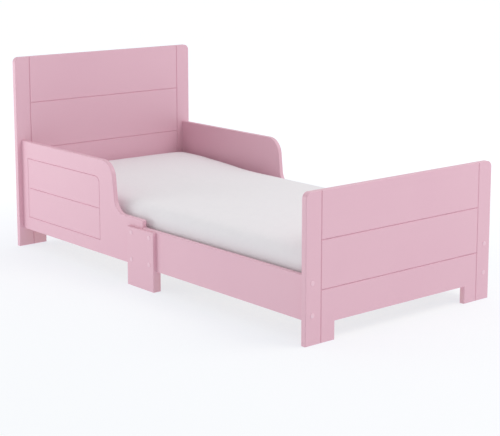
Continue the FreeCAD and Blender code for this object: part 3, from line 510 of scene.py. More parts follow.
@dataclass(frozen=True)
class WovenCover(Finish):
    """Closely woven white cotton stretched over foam.

    It gives the eye a matt white with a faint fuzz at the edges. The threads are about half a
    millimetre apart in life and are drawn at thread_mm so that they show close up. The ripples are
    where the cloth lies loose on the foam.

    Attributes:
        tone: Main colour.
        shade: Painted shade between the threads, where their relief is low.
        thread_mm: Distance between threads.
        ripple_mm: Distance between ripples.
    """

    tone: str = "f6f4f6"
    shade: str = "ece9ed"
    thread_mm: float = 1.6
    ripple_mm: float = 120.0

    def colour_and_relief(self, tree: Tree, place: Socket) -> Inputs:
        """Weave on all faces: each axis's threads fade out where the face looks along that axis."""
        normal = add_node(tree, "ShaderNodeNewGeometry").outputs["Normal"]
        facing = add_node(tree, "ShaderNodeVectorMath", {"operation": "ABSOLUTE"}, {0: normal})
        shares = add_node(tree, "ShaderNodeSeparateXYZ", inputs={"Vector": facing.outputs["Vector"]})
        height: object = 0.0
        for axis in "XYZ":
            threads = add_node(tree, "ShaderNodeTexWave",
                               {"wave_type": "BANDS", "bands_direction": axis, "wave_profile": "SIN"},
                               {"Vector": place, "Scale": per_metre(self.thread_mm) * WAVE_PERIOD,
                                "Distortion": 0.4, "Detail": 1.0}).outputs["Fac"]
            share = reckon(tree, "SUBTRACT", 1.0, shares.outputs[axis])
            height = reckon(tree, "MULTIPLY_ADD", threads, share, height)
        fuzz = noise(tree, place, 22.0)
        ripples = relief(tree, noise(tree, place, self.ripple_mm, 1.0), 1.6)
        # Painted shade: the cover's colour darkens between the threads, following the weave's relief.
        tone = blend_colours(tree, reckon(tree, "MULTIPLY", height, 0.5),
                             linear(self.shade), linear(self.tone))
        return {
            "Base Color": blend_colours(tree, spread(tree, fuzz, 0.0, 0.3), tone, linear(self.tone)),
            "Roughness": 0.9,
            "IOR": 1.45,
            "Specular IOR Level": 0.3,
            "Sheen Weight": 0.2,
            "Sheen Roughness": 0.5,
            "Normal": relief(tree, height, 0.06, ripples),
        }


@dataclass(frozen=True)
class SewingThread(Finish):
    """Twisted polyester thread, a shade greyer than the cover, with the twist as fine relief and a painted
    highlight on its raised strands.

    Attributes:
        tone: Main colour.
        painted_strand_highlight: Colour of the painted highlight on the strands that stand up.
    """

    tone: str = "e4e1e6"
    painted_strand_highlight: str = "f2f0f3"

    def colour_and_relief(self, tree: Tree, place: Socket) -> Inputs:
        """Slightly shiny thread, with a painted highlight on the raised strands."""
        twist = noise(tree, place, 0.7, 1.0)
        return {
            # Painted highlight: the strands that stand up in the twist are lighter.
            "Base Color": blend_colours(tree, twist, linear(self.tone), linear(self.painted_strand_highlight)),
            "Roughness": 0.55,
            "Normal": relief(tree, twist, 0.05),
        }


@dataclass(frozen=True)
class StudioFloor(Finish):
    """Matt white floor that glows like back-lit acrylic, as used for product pictures, so that shadows stay
    pale; its glow is painted dimmer round the bed as a floor shadow.

    Attributes:
        tone: Colour that the lamps from above see.
        drift_tone: Colour that it drifts to.
        glow_tone: Colour of the light that comes through it.
        glow: Brightness of the glow round the bed, where it is dimmed as a painted floor shadow.
        far_glow: The same at the edges, out of the painted shadow.
        middle: Centre of the painted shadow, where the glow is dimmest.
        near: Distance from there at which the painted shadow starts to fade.
        far: Distance at which the painted shadow is gone.
    """

    tone: str = "a0978e"
    drift_tone: str = "a29990"
    glow_tone: str = "edf6ff"
    glow: float = 0.735
    far_glow: float = 0.86
    middle: Triple = (-0.5, -0.6, 0.0)
    near: float = 1.2
    far: float = 2.6

    def colour_and_relief(self, tree: Tree, place: Socket) -> Inputs:
        """Pale sheet whose glow is painted dimmer round the bed, as a floor shadow."""
        away = add_node(tree, "ShaderNodeVectorMath", {"operation": "DISTANCE"}, {0: place, 1: self.middle})
        return {
            "Base Color": blend_colours(tree, noise(tree, place, 900.0),
                                        linear(self.tone), linear(self.drift_tone)),
            "Roughness": 0.9,
            "Specular IOR Level": 0.1,
            "Emission Color": linear(self.glow_tone),
            # Painted shadow: the glow is dimmer round the bed and brighter away from it.
            "Emission Strength": ramp(tree, away.outputs["Value"], self.near, self.far,
                                      self.glow, self.far_glow),
        }


PINK_LACQUER = SprayedLacquer("sprayed_pink_lacquer", "pink_lacquer")
PINE_ACROSS = PlanedPine("planed_pine_across", "bare_pine")
PINE_ALONG = PlanedPine("planed_pine_along", "bare_pine", grain=Grain.ALONG_BED)
BEECH = FlutedBeech("beech_rod", "beech_dowel")
ZINC = ZincPlatedSteel("zinc_plated_steel", "zinc_steel")
CAP_PLASTIC = MouldedCap("moulded_pink_cap", "cap_plastic")
COVER = WovenCover("woven_white_cotton", "mattress_cover")
THREAD = SewingThread("sewing_thread", "mattress_cover")
FLOOR = StudioFloor("studio_floor", "none")


# ---------------------------------------------------------------- carried-over boards


@dataclass
class Boards:
    """Boards, timbers and buried fittings that keep their CAD shape and get a finish.

    Attributes:
        rules: Start of a node's name to its finish; the first that fits is used.
        shown_elsewhere: Nodes that a detailed piece replaces.
    """

    rules: tuple[tuple[str, Finish], ...]
    shown_elsewhere: tuple[str, ...]

    def dress(self) -> int:
        """Give each remaining node its material and return how many there are."""
        dressed = 0
        for name, item in sorted(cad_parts.items()):
            if name in self.shown_elsewhere:
                continue
            finish = next(finish for start, finish in self.rules if name.startswith(start))
            if not item.material_slots:
                item.data.materials.append(None)
            for place in item.material_slots:
                place.material = material_of(finish)
            LOG.info("%s: %s", name, finish.name)
            dressed += 1
        return dressed


# ---------------------------------------------------------------- fittings placed by node trees


@dataclass(frozen=True)
class Seat:
    """Where a fitting sits.

    Attributes:
        place: Centre of its outer face.
        facing: Direction that the outer face looks in.
    """

    place: Vector
    facing: Vector


def end_seat(low: Vector, high: Vector, axis: int, way: float, depth: float = 0.0) -> Seat:
    """Seat at one end of a solid.

    Args:
        low: Lowest corner of the solid's box.
        high: Its highest corner.
        axis: Axis that the fitting points along.
        way: Minus one for the low end and one for the high end.
        depth: How far in from the end the seat lies.

    Returns:
        The seat, facing out of that end.
    """
    place, facing = (low + high) / 2, Vector((0, 0, 0))
    place[axis] = (high[axis] if way > 0 else low[axis]) - way * depth
    facing[axis] = way
    return Seat(place, facing)


def open_tree(name: str, kinds: dict[str, str]) -> NamedTree:
    """Empty geometry node tree with named inputs.

    Args:
        name: Name of the tree.
        kinds: Name of each input to its kind of socket.

    Returns:
        The tree, and its input names with their identifiers.
    """
    tree = bpy.data.node_groups.new(name, "GeometryNodeTree")
    for way in ("OUTPUT", "INPUT"):
        tree.interface.new_socket(name="Geometry", in_out=way, socket_type="NodeSocketGeometry")
    names = {label: tree.interface.new_socket(name=label, in_out="INPUT", socket_type=kind).identifier
             for label, kind in kinds.items()}
    return tree, names


def aim(tree: Tree, direction: Socket) -> Socket:
    """Rotation that turns the Z axis to a direction."""
    made = add_node(tree, "FunctionNodeAlignRotationToVector", {"axis": "Z"}, {"Vector": direction})
    return made.outputs["Rotation"]


def close_tree(tree: Tree, finish: Socket, placing: Inputs) -> None:
    """Put a shape on each point, make the copies real, give them their material and hand them out.

    Args:
        tree: Node tree.
        finish: Its material input.
        placing: Points, shape, turn and size for the copies.
    """
    placed = add_node(tree, "GeometryNodeInstanceOnPoints", inputs=placing)
    real = add_node(tree, "GeometryNodeRealizeInstances", inputs={"Geometry": placed.outputs["Instances"]})
    coloured = add_node(tree, "GeometryNodeSetMaterial",
                        inputs={"Geometry": real.outputs["Geometry"], "Material": finish})
    add_node(tree, "NodeGroupOutput", inputs={"Geometry": coloured.outputs["Geometry"]})


def run_tree(item: bpy.types.Object, named_tree: NamedTree, values: dict[str, object]) -> None:
    """Turn an object into the plain mesh that a node tree makes of it.

    Args:
        item: Object that the tree starts from.
        named_tree: The tree, and its input names with their identifiers.
        values: Input name to its value.
    """
    tree, names = named_tree
    modifier = item.modifiers.new(tree.name, "NODES")
    modifier.node_group = tree
    for label, value in values.items():
        modifier[names[label]] = value
    settle_modifiers(item)


@cache
def fittings_tree() -> NamedTree:
    """Node tree that puts a shape on each point, turned to face along the point's direction."""
    tree, names = open_tree("fittings_on_seats", {
        "Shape": "NodeSocketObject", "Finish": "NodeSocketMaterial",
        "Largest turn": "NodeSocketFloat", "Seed": "NodeSocketInt"})
    given = add_node(tree, "NodeGroupInput").outputs
    facing = add_node(tree, "GeometryNodeInputNamedAttribute", {"data_type": "FLOAT_VECTOR"},
                      {"Name": "facing"})
    chance = add_node(tree, "FunctionNodeRandomValue", {"data_type": "FLOAT"},
                      {2: 0.0, 3: given["Largest turn"], "Seed": given["Seed"]})
    spin = add_node(tree, "FunctionNodeAxisAngleToRotation",
                    inputs={"Axis": (0, 0, 1), "Angle": chance.outputs[1]})
    turned = add_node(tree, "FunctionNodeRotateRotation", {"rotation_space": "LOCAL"},
                      {"Rotation": aim(tree, facing.outputs["Attribute"]),
                       "Rotate By": spin.outputs["Rotation"]})
    shape = add_node(tree, "GeometryNodeObjectInfo", inputs={"Object": given["Shape"]})
    close_tree(tree, given["Finish"], {"Points": given["Geometry"], "Instance": shape.outputs["Geometry"],
                                       "Rotation": turned.outputs["Rotation"]})
    return tree, names


@dataclass
class Fitting:
    """A small repeated piece: its shape is made once and put on every seat.

    Attributes:
        label: Name of the piece.
        finish: Its finish.
        nodes: CAD nodes that it stands for.
        largest_turn: How far each one may be turned about its own axis, as a driver leaves it.
        seed: Seed of those turns.
    """

    label: str
    finish: Finish
    nodes: tuple[str, ...]
    largest_turn: float = 0.0
    seed: int = 7

    def shape(self) -> bpy.types.Mesh:
        """Mesh of one, its outer face at height nought and looking along +Z."""
        raise NotImplementedError

    def seat(self, low: Vector, high: Vector) -> Seat:
        """Seat for one CAD solid, given its box."""
        raise NotImplementedError

    def place_all(self) -> bpy.types.Object:
        """Put one on each seat and turn the result into a plain mesh.

        Returns:
            The finished piece, riding on the frame.
        """
        seats = [self.seat(*box) for node in self.nodes for box in solids_of(node)]
        points = bpy.data.meshes.new(f"{self.label}_seats")
        points.from_pydata([seat.place for seat in seats], [], [])
        facing = points.attributes.new("facing", "FLOAT_VECTOR", "POINT")
        for number, seat in enumerate(seats):
            facing.data[number].vector = seat.facing
        piece = new_object(self.label, points)
        pattern = new_object(f"{self.label}_pattern", self.shape())
        run_tree(piece, fittings_tree(), {"Shape": pattern, "Finish": material_of(self.finish),
                                          "Largest turn": self.largest_turn, "Seed": self.seed})
        bpy.data.objects.remove(pattern)
        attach(piece, "frame")
        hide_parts(*self.nodes)
        LOG.info("%s: %d placed, %d faces", self.label, len(seats), len(piece.data.polygons))
        return piece


@dataclass
class BoltCovers(Fitting):
    """Domed plastic covers over the bolt heads on the end boards and the centre legs.

    Attributes:
        dimple: Radius of the moulding dimple in the middle.
        dimple_depth: Its depth.
        stem: Length of the plug behind the flange.
        steps: Points round the cover.
        rise: How far the cover stands above the board.
        radius: Radius of the flange.
    """

    dimple: float = 0.9 * MM
    dimple_depth: float = 0.16 * MM
    stem: float = 1.5 * MM
    steps: int = 28
    rise: float = field(init=False, default=0.0)
    radius: float = field(init=False, default=0.0)

    def __post_init__(self) -> None:
        """Take the flange's radius and its rise from the CAD solids."""
        low, high = solids_of(self.nodes[0])[0]
        self.radius = (high.x - low.x) / 2
        self.rise = CAD_BOX[1].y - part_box("headboard_panel")[1].y

    def shape(self) -> bpy.types.Mesh:
        """Low dome with a rolled rim, a dimple and a stem."""
        r, top = self.radius, self.rise
        dome = [(r * math.sin(a), top * (0.42 + 0.58 * math.cos(a) ** 0.8))
                for a in (math.radians(step) for step in range(20, 84, 8))]
        profile = [(0.0, top - self.dimple_depth), (self.dimple * 0.55, top - self.dimple_depth * 0.9),
                   (self.dimple, top - 0.02 * MM), *dome,
                   (r * 0.998, top * 0.36), (r, top * 0.2), (r, 0.0),
                   (r * 0.52, 0.0), (r * 0.5, -self.stem), (0.0, -self.stem)]
        solid = bmesh.new()
        lathe(solid, profile, self.steps)
        return mesh_from(self.label, solid)

    def seat(self, low: Vector, high: Vector) -> Seat:
        """Covers face away from the bed: along Y on the end boards, along X on the legs."""
        axis = Y_AXIS if high.x - low.x > high.y - low.y else X_AXIS
        return end_seat(low, high, axis, math.copysign(1, low[axis] + high[axis]), self.rise)


@dataclass
class WoodScrews(Fitting):
    """Countersunk wood screws with a cross recess.

    Attributes:
        head: Radius of the head.
        shank: Radius of the shank.
        recess_reach: Length of each arm of the cross.
        recess_half: Half the width of an arm.
        recess_depth: Depth of the cross.
        steps: Points round the screw.
        length: Length of the whole screw.
    """

    head: float = 4.0 * MM
    shank: float = 1.95 * MM
    recess_reach: float = 2.3 * MM
    recess_half: float = 0.5 * MM
    recess_depth: float = 1.5 * MM
    steps: int = 24
    length: float = field(init=False, default=0.0)

    def __post_init__(self) -> None:
        """Take the length from the CAD solids."""
        low, high = solids_of(self.nodes[0])[0]
        self.length = max(high - low) - 0.1 * MM

    def shape(self) -> bpy.types.Mesh:
        """Flat head with a tapered cross in it, a cone below and a pointed shank."""
        solid = bmesh.new()
        rim = circle(solid, self.head, 0.0, self.steps, 0.5)
        reach, half = self.recess_reach, self.recess_half
        cross = []
        for quarter in range(4):
            cos, sin = math.cos(math.pi / 2 * quarter), math.sin(math.pi / 2 * quarter)
            cross.extend((x * cos - y * sin, x * sin + y * cos)
                         for x, y in ((reach, -half), (reach, half), (half, half)))
        edge = [solid.verts.new((x, y, 0)) for x, y in cross]
        bottom = [solid.verts.new((x * 0.55, y * 0.7, -self.recess_depth)) for x, y in cross]
        tip = solid.verts.new((0, 0, -self.recess_depth * 1.25))
        for loop in (rim, edge):
            for number, vert in enumerate(loop):
                solid.edges.new((vert, loop[(number + 1) % len(loop)]))
        bmesh.ops.triangle_fill(solid, edges=list(solid.edges), use_beauty=True)
        join_rings(solid, [edge, bottom, [tip]])
        below = [circle(solid, radius, height, self.steps, 0.5)
                 for radius, height in ((self.head, -0.25 * MM), (self.shank, -2.2 * MM),
                                        (self.shank, 2.5 * MM - self.length), (0.0, -self.length))]
        join_rings(solid, [rim, *below])
        return mesh_from(self.label, solid, smooth=False)

    def seat(self, low: Vector, high: Vector) -> Seat:
        """Heads look up on the slats and towards the middle of the bed elsewhere."""
        middle, span = (low + high) / 2, high - low
        if span.z > max(span.x, span.y):
            return end_seat(low, high, Z_AXIS, 1)
        if span.x > span.y:
            return end_seat(low, high, X_AXIS, -math.copysign(1, middle.x))
        beam_low, beam_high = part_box("centre_cross_beam")
        return end_seat(low, high, Y_AXIS, math.copysign(1, middle.y - (beam_low.y + beam_high.y) / 2))


@dataclass
class BarrelNuts(Fitting):
    """Cross nuts whose slotted ends show on the inner faces of the side boards.

    Attributes:
        slot_half: Half the width of the screwdriver slot.
        slot_depth: Its depth.
        chamfer: Bevel of the end's rim.
        play: Gap to the wall of the hole.
        steps: Points round the nut, an even number.
        radius: Radius of the CAD nut.
        length: Its length.
    """

    slot_half: float = 0.7 * MM
    slot_depth: float = 1.4 * MM
    chamfer: float = 0.5 * MM
    play: float = 0.03 * MM
    steps: int = 28
    radius: float = field(init=False, default=0.0)
    length: float = field(init=False, default=0.0)

    def __post_init__(self) -> None:
        """Take the nut's size from the CAD solids."""
        low, high = solids_of(self.nodes[0])[0]
        self.radius = (high.z - low.z) / 2
        self.length = high.x - low.x

    def shape(self) -> bpy.types.Mesh:
        """Chamfered cylinder with a straight slot across its end."""
        solid = bmesh.new()
        r, c = self.radius - self.play, self.chamfer
        rings = [circle(solid, radius, height, self.steps, 0.5)
                 for radius, height in ((r, -c), (r, c - self.length), (r - c, -self.length))]
        join_rings(solid, rings)
        solid.faces.new(rings[-1])
        start, count = math.asin(self.slot_half / (r - c)), self.steps // 2
        span = [start + (math.pi - 2 * start) * step / (count - 1) for step in range(count)]
        lands = []
        for way in (-1, 1):
            top = [solid.verts.new(((r - c) * math.cos(a), way * (r - c) * math.sin(a), 0)) for a in span]
            rim = sorted((vert for vert in rings[0] if vert.co.y * way > 0), key=lambda vert: -vert.co.x)
            floor = [solid.verts.new((end.co.x, way * self.slot_half, -self.slot_depth))
                     for end in (top[0], top[-1])]
            solid.faces.new(top)
            for corners in zip(top, top[1:], rim[1:], rim):
                solid.faces.new(corners)
            solid.faces.new((top[0], top[-1], floor[1], floor[0]))
            lands.append((rim, top, floor))
        (rim_a, top_a, floor_a), (rim_b, top_b, floor_b) = lands
        solid.faces.new((*floor_a, *reversed(floor_b)))
        for end in (0, -1):
            solid.faces.new((top_a[end], top_b[end], rim_b[end], rim_a[end]))
            solid.faces.new((top_a[end], floor_a[end], floor_b[end], top_b[end]))
        return mesh_from(self.label, solid, smooth=False)

    def seat(self, low: Vector, high: Vector) -> Seat:
        """The slotted end looks towards the middle of the bed."""
        return end_seat(low, high, X_AXIS, -math.copysign(1, low.x + high.x))


# ---------------------------------------------------------------- mattress


def quarter_turn(steps: int) -> list[float]:
    """Angles from nought to a right angle."""
    return [math.pi / 2 * step / steps for step in range(steps + 1)]


@dataclass(frozen=True)
class Edge:
    """Roll of the mattress's top edge.

    Attributes:
        run: How far in from the side the roll reaches.
        fall: How far down the side it reaches.
        drop: How much lower than the mattress's full height its top is.
    """

    run: float
    fall: float
    drop: float


@dataclass
class Mattress:
    """Foam mattress in a sewn cotton cover that lies on the slats.

    It is sat on along the low rails, where its edge is rolled and soft, and is still full and
    square at the head, between the guards.

    Attributes:
        corner: Radius of its corners seen from above.
        soft_edge: Top edge along the low rails and at the foot.
        full_edge: Top edge at the head.
        full_from: Places along the bed between which the soft edge turns into the full one.
        plump: How much the middle of the head end stands above its sides.
        bottom_round: Radius of the bottom edge.
        core: Half the width of the flat strip in the middle.
        shrink: How much smaller the shape is before the cloth fills out.
        voxel: Size of the squares that the cloth is made of.
        cap: Furthest that a point of the cloth may move.
        clear: Gap to the boards around it.
        seam_rise: Height of the side seam above the underside.
        seam_depth: How far the seam draws the cover in.
        seam_half: Half the width of the hollow along the seam.
        stitch_pitch: Distance between stitches.
        stitch_length: Length of a stitch.
        thread_radius: Radius of its thread.
        thread_lift: How far the stitches' middles stand out of the cover.
        fill_frames: Frames for which the cloth swells.
        low: Lowest corner of the space that the mattress holds.
        high: Its highest corner.
    """

    corner: float = 0.050
    soft_edge: Edge = Edge(0.052, 0.064, 0.017)
    full_edge: Edge = Edge(0.016, 0.030, 0.008)
    full_from: tuple[float, float] = (0.22, 0.64)
    plump: float = 0.006
    bottom_round: float = 0.016
    core: float = 0.020
    shrink: float = 0.004
    voxel: float = 0.012
    cap: float = 0.007
    clear: float = 0.0012
    seam_rise: float = 0.032
    seam_depth: float = 0.0026
    seam_half: float = 0.009
    stitch_pitch: float = 0.0062
    stitch_length: float = 0.0042
    thread_radius: float = 0.00045
    thread_lift: float = 0.0003
    fill_frames: int = 20
    low: Vector = field(init=False, default_factory=Vector)
    high: Vector = field(init=False, default_factory=Vector)

    def __post_init__(self) -> None:
        """Take the space that the CAD mattress holds."""
        self.low, self.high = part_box("mattress")

    def outline(self, inset: float, per_corner: int = 10, per_side: int = 30) -> list[Point]:
        """Rounded rectangle, inset from the mattress's plan, with as many points for each inset."""
        half_x = (self.high.x - self.low.x) / 2 - inset
        half_y = (self.high.y - self.low.y) / 2 - inset
        radius = max(self.corner - inset, 0.004)
        bends = []
        for quarter, (sx, sy) in enumerate(((1, 1), (-1, 1), (-1, -1), (1, -1))):
            for step in range(per_corner):
                angle = math.pi / 2 * (quarter + step / (per_corner - 1))
                bends.append((sx * (half_x - radius) + radius * math.cos(angle),
                              sy * (half_y - radius) + radius * math.sin(angle)))
        points = []
        for number, (x, y) in enumerate(bends):
            points.append((x, y))
            if (number + 1) % per_corner == 0:
                ahead_x, ahead_y = bends[(number + 1) % len(bends)]
                shares = (step / per_side for step in range(1, per_side))
                points.extend((x + (ahead_x - x) * share, y + (ahead_y - y) * share) for share in shares)
        return points

    def profile(self, edge: Edge) -> list[Point]:
        """Inset and height pairs from the middle of the underside, round the edge, to the top's middle."""
        bottom = self.low.z + self.shrink * 0.4
        edge_top = self.high.z - edge.drop
        start, deep = self.shrink, (self.high.x - self.low.x) / 2 - self.core
        rows = [(deep, bottom), (deep * 0.5, bottom)]
        for angle in quarter_turn(6):
            rows.append((start + self.bottom_round * (1 - math.sin(angle)),
                         bottom + self.bottom_round * (1 - math.cos(angle))))
        for angle in quarter_turn(8):
            rows.append((start + edge.run * (1 - math.cos(angle)),
                         edge_top - edge.fall * (1 - math.sin(angle))))
        first = start + edge.run
        crown = self.high.z - self.shrink - edge_top
        steps = 14
        for step in range(1, steps + 1):
            share = step / steps
            rows.append((first + (deep - first) * share,
                         edge_top + crown * (1 - (1 - share) ** 2.2)))
        return rows

    def fullness(self, y: float) -> float:
        """Share of the full edge in the edge at a place along the bed."""
        start, end = self.full_from
        share = max(0.0, min(1.0, (y - start) / (end - start)))
        return share * share * (3 - 2 * share)

    def shell(self) -> bpy.types.Object:
        """Closed crowned form before it is filled out, in even squares."""
        solid = bmesh.new()
        half_x = (self.high.x - self.low.x) / 2
        middle = (self.high.z + self.low.z) / 2
        rings = []
        for soft, full in zip(self.profile(self.soft_edge), self.profile(self.full_edge)):
            ring = []
            for (x, y), (full_x, full_y) in zip(self.outline(soft[0]), self.outline(full[0])):
                share = self.fullness(y)
                height = soft[1] + (full[1] - soft[1]) * share
                lift = max(0.0, (height - middle) / (self.high.z - middle))
                height += self.plump * share * lift * (1 - (x / half_x) ** 2)
                ring.append(solid.verts.new((x + (full_x - x) * share, y + (full_y - y) * share, height)))
            rings.append(ring)
        join_rings(solid, rings)
        solid.faces.new(rings[0])
        solid.faces.new(rings[-1])
        item = new_object("mattress_cover", mesh_from("mattress_cover", solid))
        squares = item.modifiers.new("even_squares", "REMESH")
        squares.mode = "VOXEL"
        squares.voxel_size = self.voxel
        settle_modifiers(item)
        return item

    def fill_out(self, item: bpy.types.Object) -> None:
        """Let the cloth swell against the foam's pressure, and keep each point near its start."""
        start = [vert.co.copy() for vert in item.data.vertices]
        modifier = item.modifiers.new("filling", "CLOTH")
        cloth = modifier.settings
        cloth.quality = 6
        cloth.mass = 0.25
        cloth.tension_stiffness = 18
        cloth.compression_stiffness = 12
        cloth.bending_stiffness = 1.5
        cloth.use_pressure = True
        cloth.uniform_pressure_force = 4.0
        cloth.effector_weights.gravity = 0.0
        scene = bpy.context.scene
        for number in range(1, self.fill_frames + 1):
            scene.frame_set(number)
        settle_modifiers(item)
        scene.frame_set(1)
        for vert, place in zip(item.data.vertices, start):
            move = vert.co - place
            if move.length > self.cap:
                vert.co = place + move * (self.cap / move.length)

    def fit_between_boards(self, item: bpy.types.Object) -> None:
        """Flatten the cover where it meets the slats, the sides and the end boards."""
        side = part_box("foot_rail_right")[0].x - self.clear
        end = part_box("headboard_panel")[0].y - self.clear
        for vert in item.data.vertices:
            vert.co.x = max(-side, min(side, vert.co.x))
            vert.co.y = max(-end, min(end, vert.co.y))
            vert.co.z = max(self.low.z, vert.co.z)

    def sew_seam(self, item: bpy.types.Object) -> None:
        """Pull the cover in along the side seam."""
        level = self.low.z + self.seam_rise
        for vert in item.data.vertices:
            away = abs(vert.co.z - level) / self.seam_half
            if away < 1:
                pull = self.seam_depth * (1 - away * away) ** 2
                flat = Vector((vert.normal.x, vert.normal.y, 0))
                if flat.length > 0.3:
                    vert.co -= flat.normalized() * pull

    def build(self) -> bpy.types.Object:
        """Make the cover and its stitches.

        Returns:
            The cover.
        """
        item = self.shell()
        self.fill_out(item)
        self.fit_between_boards(item)
        finer = item.modifiers.new("finer", "SUBSURF")
        finer.levels = finer.render_levels = 1
        settle_modifiers(item)
        item.data.update()
        self.sew_seam(item)
        self.fit_between_boards(item)
        for face in item.data.polygons:
            face.use_smooth = True
        item.data.materials.clear()
        item.data.materials.append(material_of(COVER))
        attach(item, "mattress")
        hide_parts("mattress")
        LOG.info("mattress_cover: %d faces", len(item.data.polygons))
        self.stitches(item)
        return item

    def stitches(self, cover: bpy.types.Object) -> bpy.types.Object:
        """Row of stitches along the side seam, spaced by a node tree."""
        surface = BVHTree.FromObject(cover, bpy.context.evaluated_depsgraph_get())
        level = self.low.z + self.seam_rise
        path = []
        corners = self.outline(-self.shrink)
        for (x, y), ahead in zip(corners, corners[1:] + corners[:1]):
            pieces = max(1, round(math.dist((x, y), ahead) / self.voxel))
            for part in range(pieces):
                share = part / pieces
                near, normal, *_ = surface.find_nearest(
                    Vector((x + (ahead[0] - x) * share, y + (ahead[1] - y) * share, level)))
                path.append(Vector((near.x + normal.x * self.thread_lift,
                                    near.y + normal.y * self.thread_lift, level)))
        line = bpy.data.meshes.new("seam_line")
        line.from_pydata(path, [(number, (number + 1) % len(path)) for number in range(len(path))], [])
        item = new_object("mattress_stitches", line)
        run_tree(item, stitch_tree(), {"Stitch pitch": self.stitch_pitch, "Stitch length": self.stitch_length,
                                       "Thread radius": self.thread_radius, "Finish": material_of(THREAD)})
        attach(item, "mattress")
        LOG.info("mattress_stitches: %d faces", len(item.data.polygons))
        return item


@cache
def stitch_tree() -> NamedTree:
    """Node tree that lays stitches end to end along a closed line of edges."""
    tree, names = open_tree("stitches_along_seam", {
        "Stitch pitch": "NodeSocketFloat", "Stitch length": "NodeSocketFloat",
        "Thread radius": "NodeSocketFloat", "Finish": "NodeSocketMaterial"})
    given = add_node(tree, "NodeGroupInput").outputs
    seam = add_node(tree, "GeometryNodeMeshToCurve", inputs={"Mesh": given["Geometry"]})
    dots = add_node(tree, "GeometryNodeCurveToPoints", {"mode": "LENGTH"},
                    {"Curve": seam.outputs["Curve"], "Length": given["Stitch pitch"]})
    ball = add_node(tree, "GeometryNodeMeshUVSphere", inputs={"Segments": 8, "Rings": 6, "Radius": 1.0})
    size = add_node(tree, "ShaderNodeCombineXYZ",
                    inputs={"X": given["Thread radius"], "Y": given["Thread radius"],
                            "Z": reckon(tree, "MULTIPLY", given["Stitch length"], 0.5)})
    close_tree(tree, given["Finish"], {"Points": dots.outputs["Points"], "Instance": ball.outputs["Mesh"],
                                       "Rotation": aim(tree, dots.outputs["Tangent"]),
                                       "Scale": size.outputs["Vector"]})
    return tree, names


# ---------------------------------------------------------------- studio


@dataclass(frozen=True)
class Softbox:
    """A large soft lamp.

    Attributes:
        name: Name of the lamp.
        place: Where its middle is, in metres.
        aim: Point that it looks at.
        size: Its two sides.
        watts: Its power.
    """

    name: str
    place: Triple
    aim: Triple
    size: tuple[float, float]
    watts: float

    def build(self) -> bpy.types.Object:
        """Lamp in its place."""
        data = bpy.data.lights.new(self.name, "AREA")
        data.shape = "RECTANGLE"
        data.size, data.size_y = self.size
        data.energy = self.watts
        lamp = new_object(self.name, data)
        lamp.location = self.place
        lamp.rotation_euler = (Vector(self.aim) - Vector(self.place)).to_track_quat("-Z", "Y").to_euler()
        lamp.visible_camera = False
        return lamp


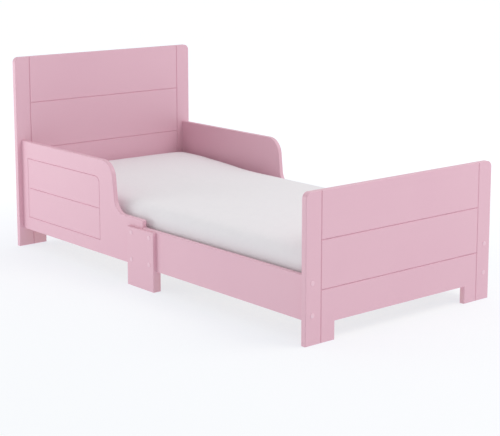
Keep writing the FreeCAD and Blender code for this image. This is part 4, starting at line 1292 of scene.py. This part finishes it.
@dataclass
class Studio:
    """Pale floor, soft light and the camera.

    Attributes:
        floor_half: Half the floor's side.
        floor_gap: Gap between the feet and the floor.
        sky: Brightness of the surroundings.
        bright_side: Direction in which they are brightest.
        boxes: The lamps.
        eye: Where the camera stands, in metres.
        tilt: Camera's angle up from straight down, in degrees.
        swing: Its angle about the vertical, in degrees.
        lens: Focal length for a 36 mm wide sensor.
        shift: Vertical shift of the picture.
    """

    boxes: tuple[Softbox, ...]
    floor_half: float = 40.0
    floor_gap: float = 0.4 * MM
    sky: float = 0.61
    bright_side: Triple = (0.45, 0.10, 0.88)
    eye: Triple = (-2.8098, -3.4075, 1.1720)
    tilt: float = 80.29
    swing: float = -40.15
    lens: float = 97.29
    shift: float = -0.1408

    def floor(self) -> bpy.types.Object:
        """Floor just under the feet."""
        solid = bmesh.new()
        bmesh.ops.create_grid(solid, x_segments=1, y_segments=1, size=self.floor_half)
        item = new_object("studio_floor", mesh_from("studio_floor", solid, smooth=False))
        item.data.materials.append(material_of(FLOOR))
        for vert in item.data.vertices:
            vert.co.z = -self.floor_gap
        return item

    def surroundings(self) -> None:
        """White all round, a little brighter from above and behind the bed's right side."""
        world = bpy.data.worlds.new("studio")
        bpy.context.scene.world = world
        world.use_nodes = True
        tree = world.node_tree
        tree.nodes.clear()
        place = add_node(tree, "ShaderNodeTexCoord").outputs["Generated"]
        lean = add_node(tree, "ShaderNodeVectorMath", {"operation": "DOT_PRODUCT"},
                        {0: place, 1: self.bright_side})
        bright = ramp(tree, lean.outputs["Value"], -0.4, 1.0, self.sky * 0.55, self.sky * 1.45)
        light = add_node(tree, "ShaderNodeBackground", inputs={"Color": WHITE, "Strength": bright})
        seen = add_node(tree, "ShaderNodeBackground", inputs={"Color": WHITE, "Strength": 1.0})
        ray = add_node(tree, "ShaderNodeLightPath").outputs["Is Camera Ray"]
        both = add_node(tree, "ShaderNodeMixShader",
                        inputs={0: ray, 1: light.outputs["Background"], 2: seen.outputs["Background"]})
        add_node(tree, "ShaderNodeOutputWorld", inputs={"Surface": both.outputs["Shader"]})

    def camera(self) -> bpy.types.Object:
        """Camera at the viewing place."""
        data = bpy.data.cameras.new("view")
        data.lens = self.lens
        data.sensor_width = 36.0
        data.shift_y = self.shift
        data.clip_end = 200.0
        item = new_object("view", data)
        item.location = self.eye
        item.rotation_euler = (math.radians(self.tilt), 0.0, math.radians(self.swing))
        bpy.context.scene.camera = item
        return item

    def build(self) -> None:
        """Set the studio up."""
        bpy.context.scene.view_settings.view_transform = "Standard"
        bpy.context.scene.view_settings.look = "None"
        self.floor()
        self.surroundings()
        for box in self.boxes:
            box.build()
        self.camera()


# ---------------------------------------------------------------- the bed


def main() -> None:
    """Build the bed's looks and the studio round it."""
    logging.basicConfig(level=logging.INFO, format="%(message)s")
    fittings = [
        BoltCovers("bolt_covers", CAP_PLASTIC,
                   ("headboard_bolt_caps", "footboard_bolt_caps", "leg_bolt_caps")),
        WoodScrews("slat_wood_screws", ZINC, ("slat_screws",), math.pi / 2, 11),
        WoodScrews("cleat_wood_screws", ZINC, ("cleat_screws",), math.pi / 2, 23),
        WoodScrews("bracket_wood_screws", ZINC, ("bracket_screws",), math.pi / 2, 31),
        BarrelNuts("slotted_barrel_nuts", ZINC, ("headboard_barrel_nuts", "footboard_barrel_nuts")),
    ]
    boards = Boards(
        rules=(
            ("headboard_dowels", BEECH), ("footboard_dowels", BEECH),
            ("headboard_bolts", ZINC), ("footboard_bolts", ZINC), ("leg_", ZINC), ("beam_bracket", ZINC),
            ("slat_", PINE_ACROSS), ("centre_cross_beam", PINE_ACROSS),
            ("head_cleat", PINE_ALONG), ("foot_cleat", PINE_ALONG),
            ("", PINK_LACQUER),
        ),
        shown_elsewhere=("mattress", *(node for fitting in fittings for node in fitting.nodes)),
    )
    LOG.info("%d CAD nodes dressed", boards.dress())
    for fitting in fittings:
        fitting.place_all()
    Mattress().build()
    Studio(
        boxes=(
            Softbox("front_top", (1.4, -2.4, 3.2), (0.0, 0.0, 0.2), (2.2, 2.2), 40.0),
            Softbox("low_left", (-2.6, 2.2, 0.6), (-0.4, 0.5, 0.2), (2.0, 1.0), 25.0),
        ),
    ).build()


if __name__ == "__main__":
    main()
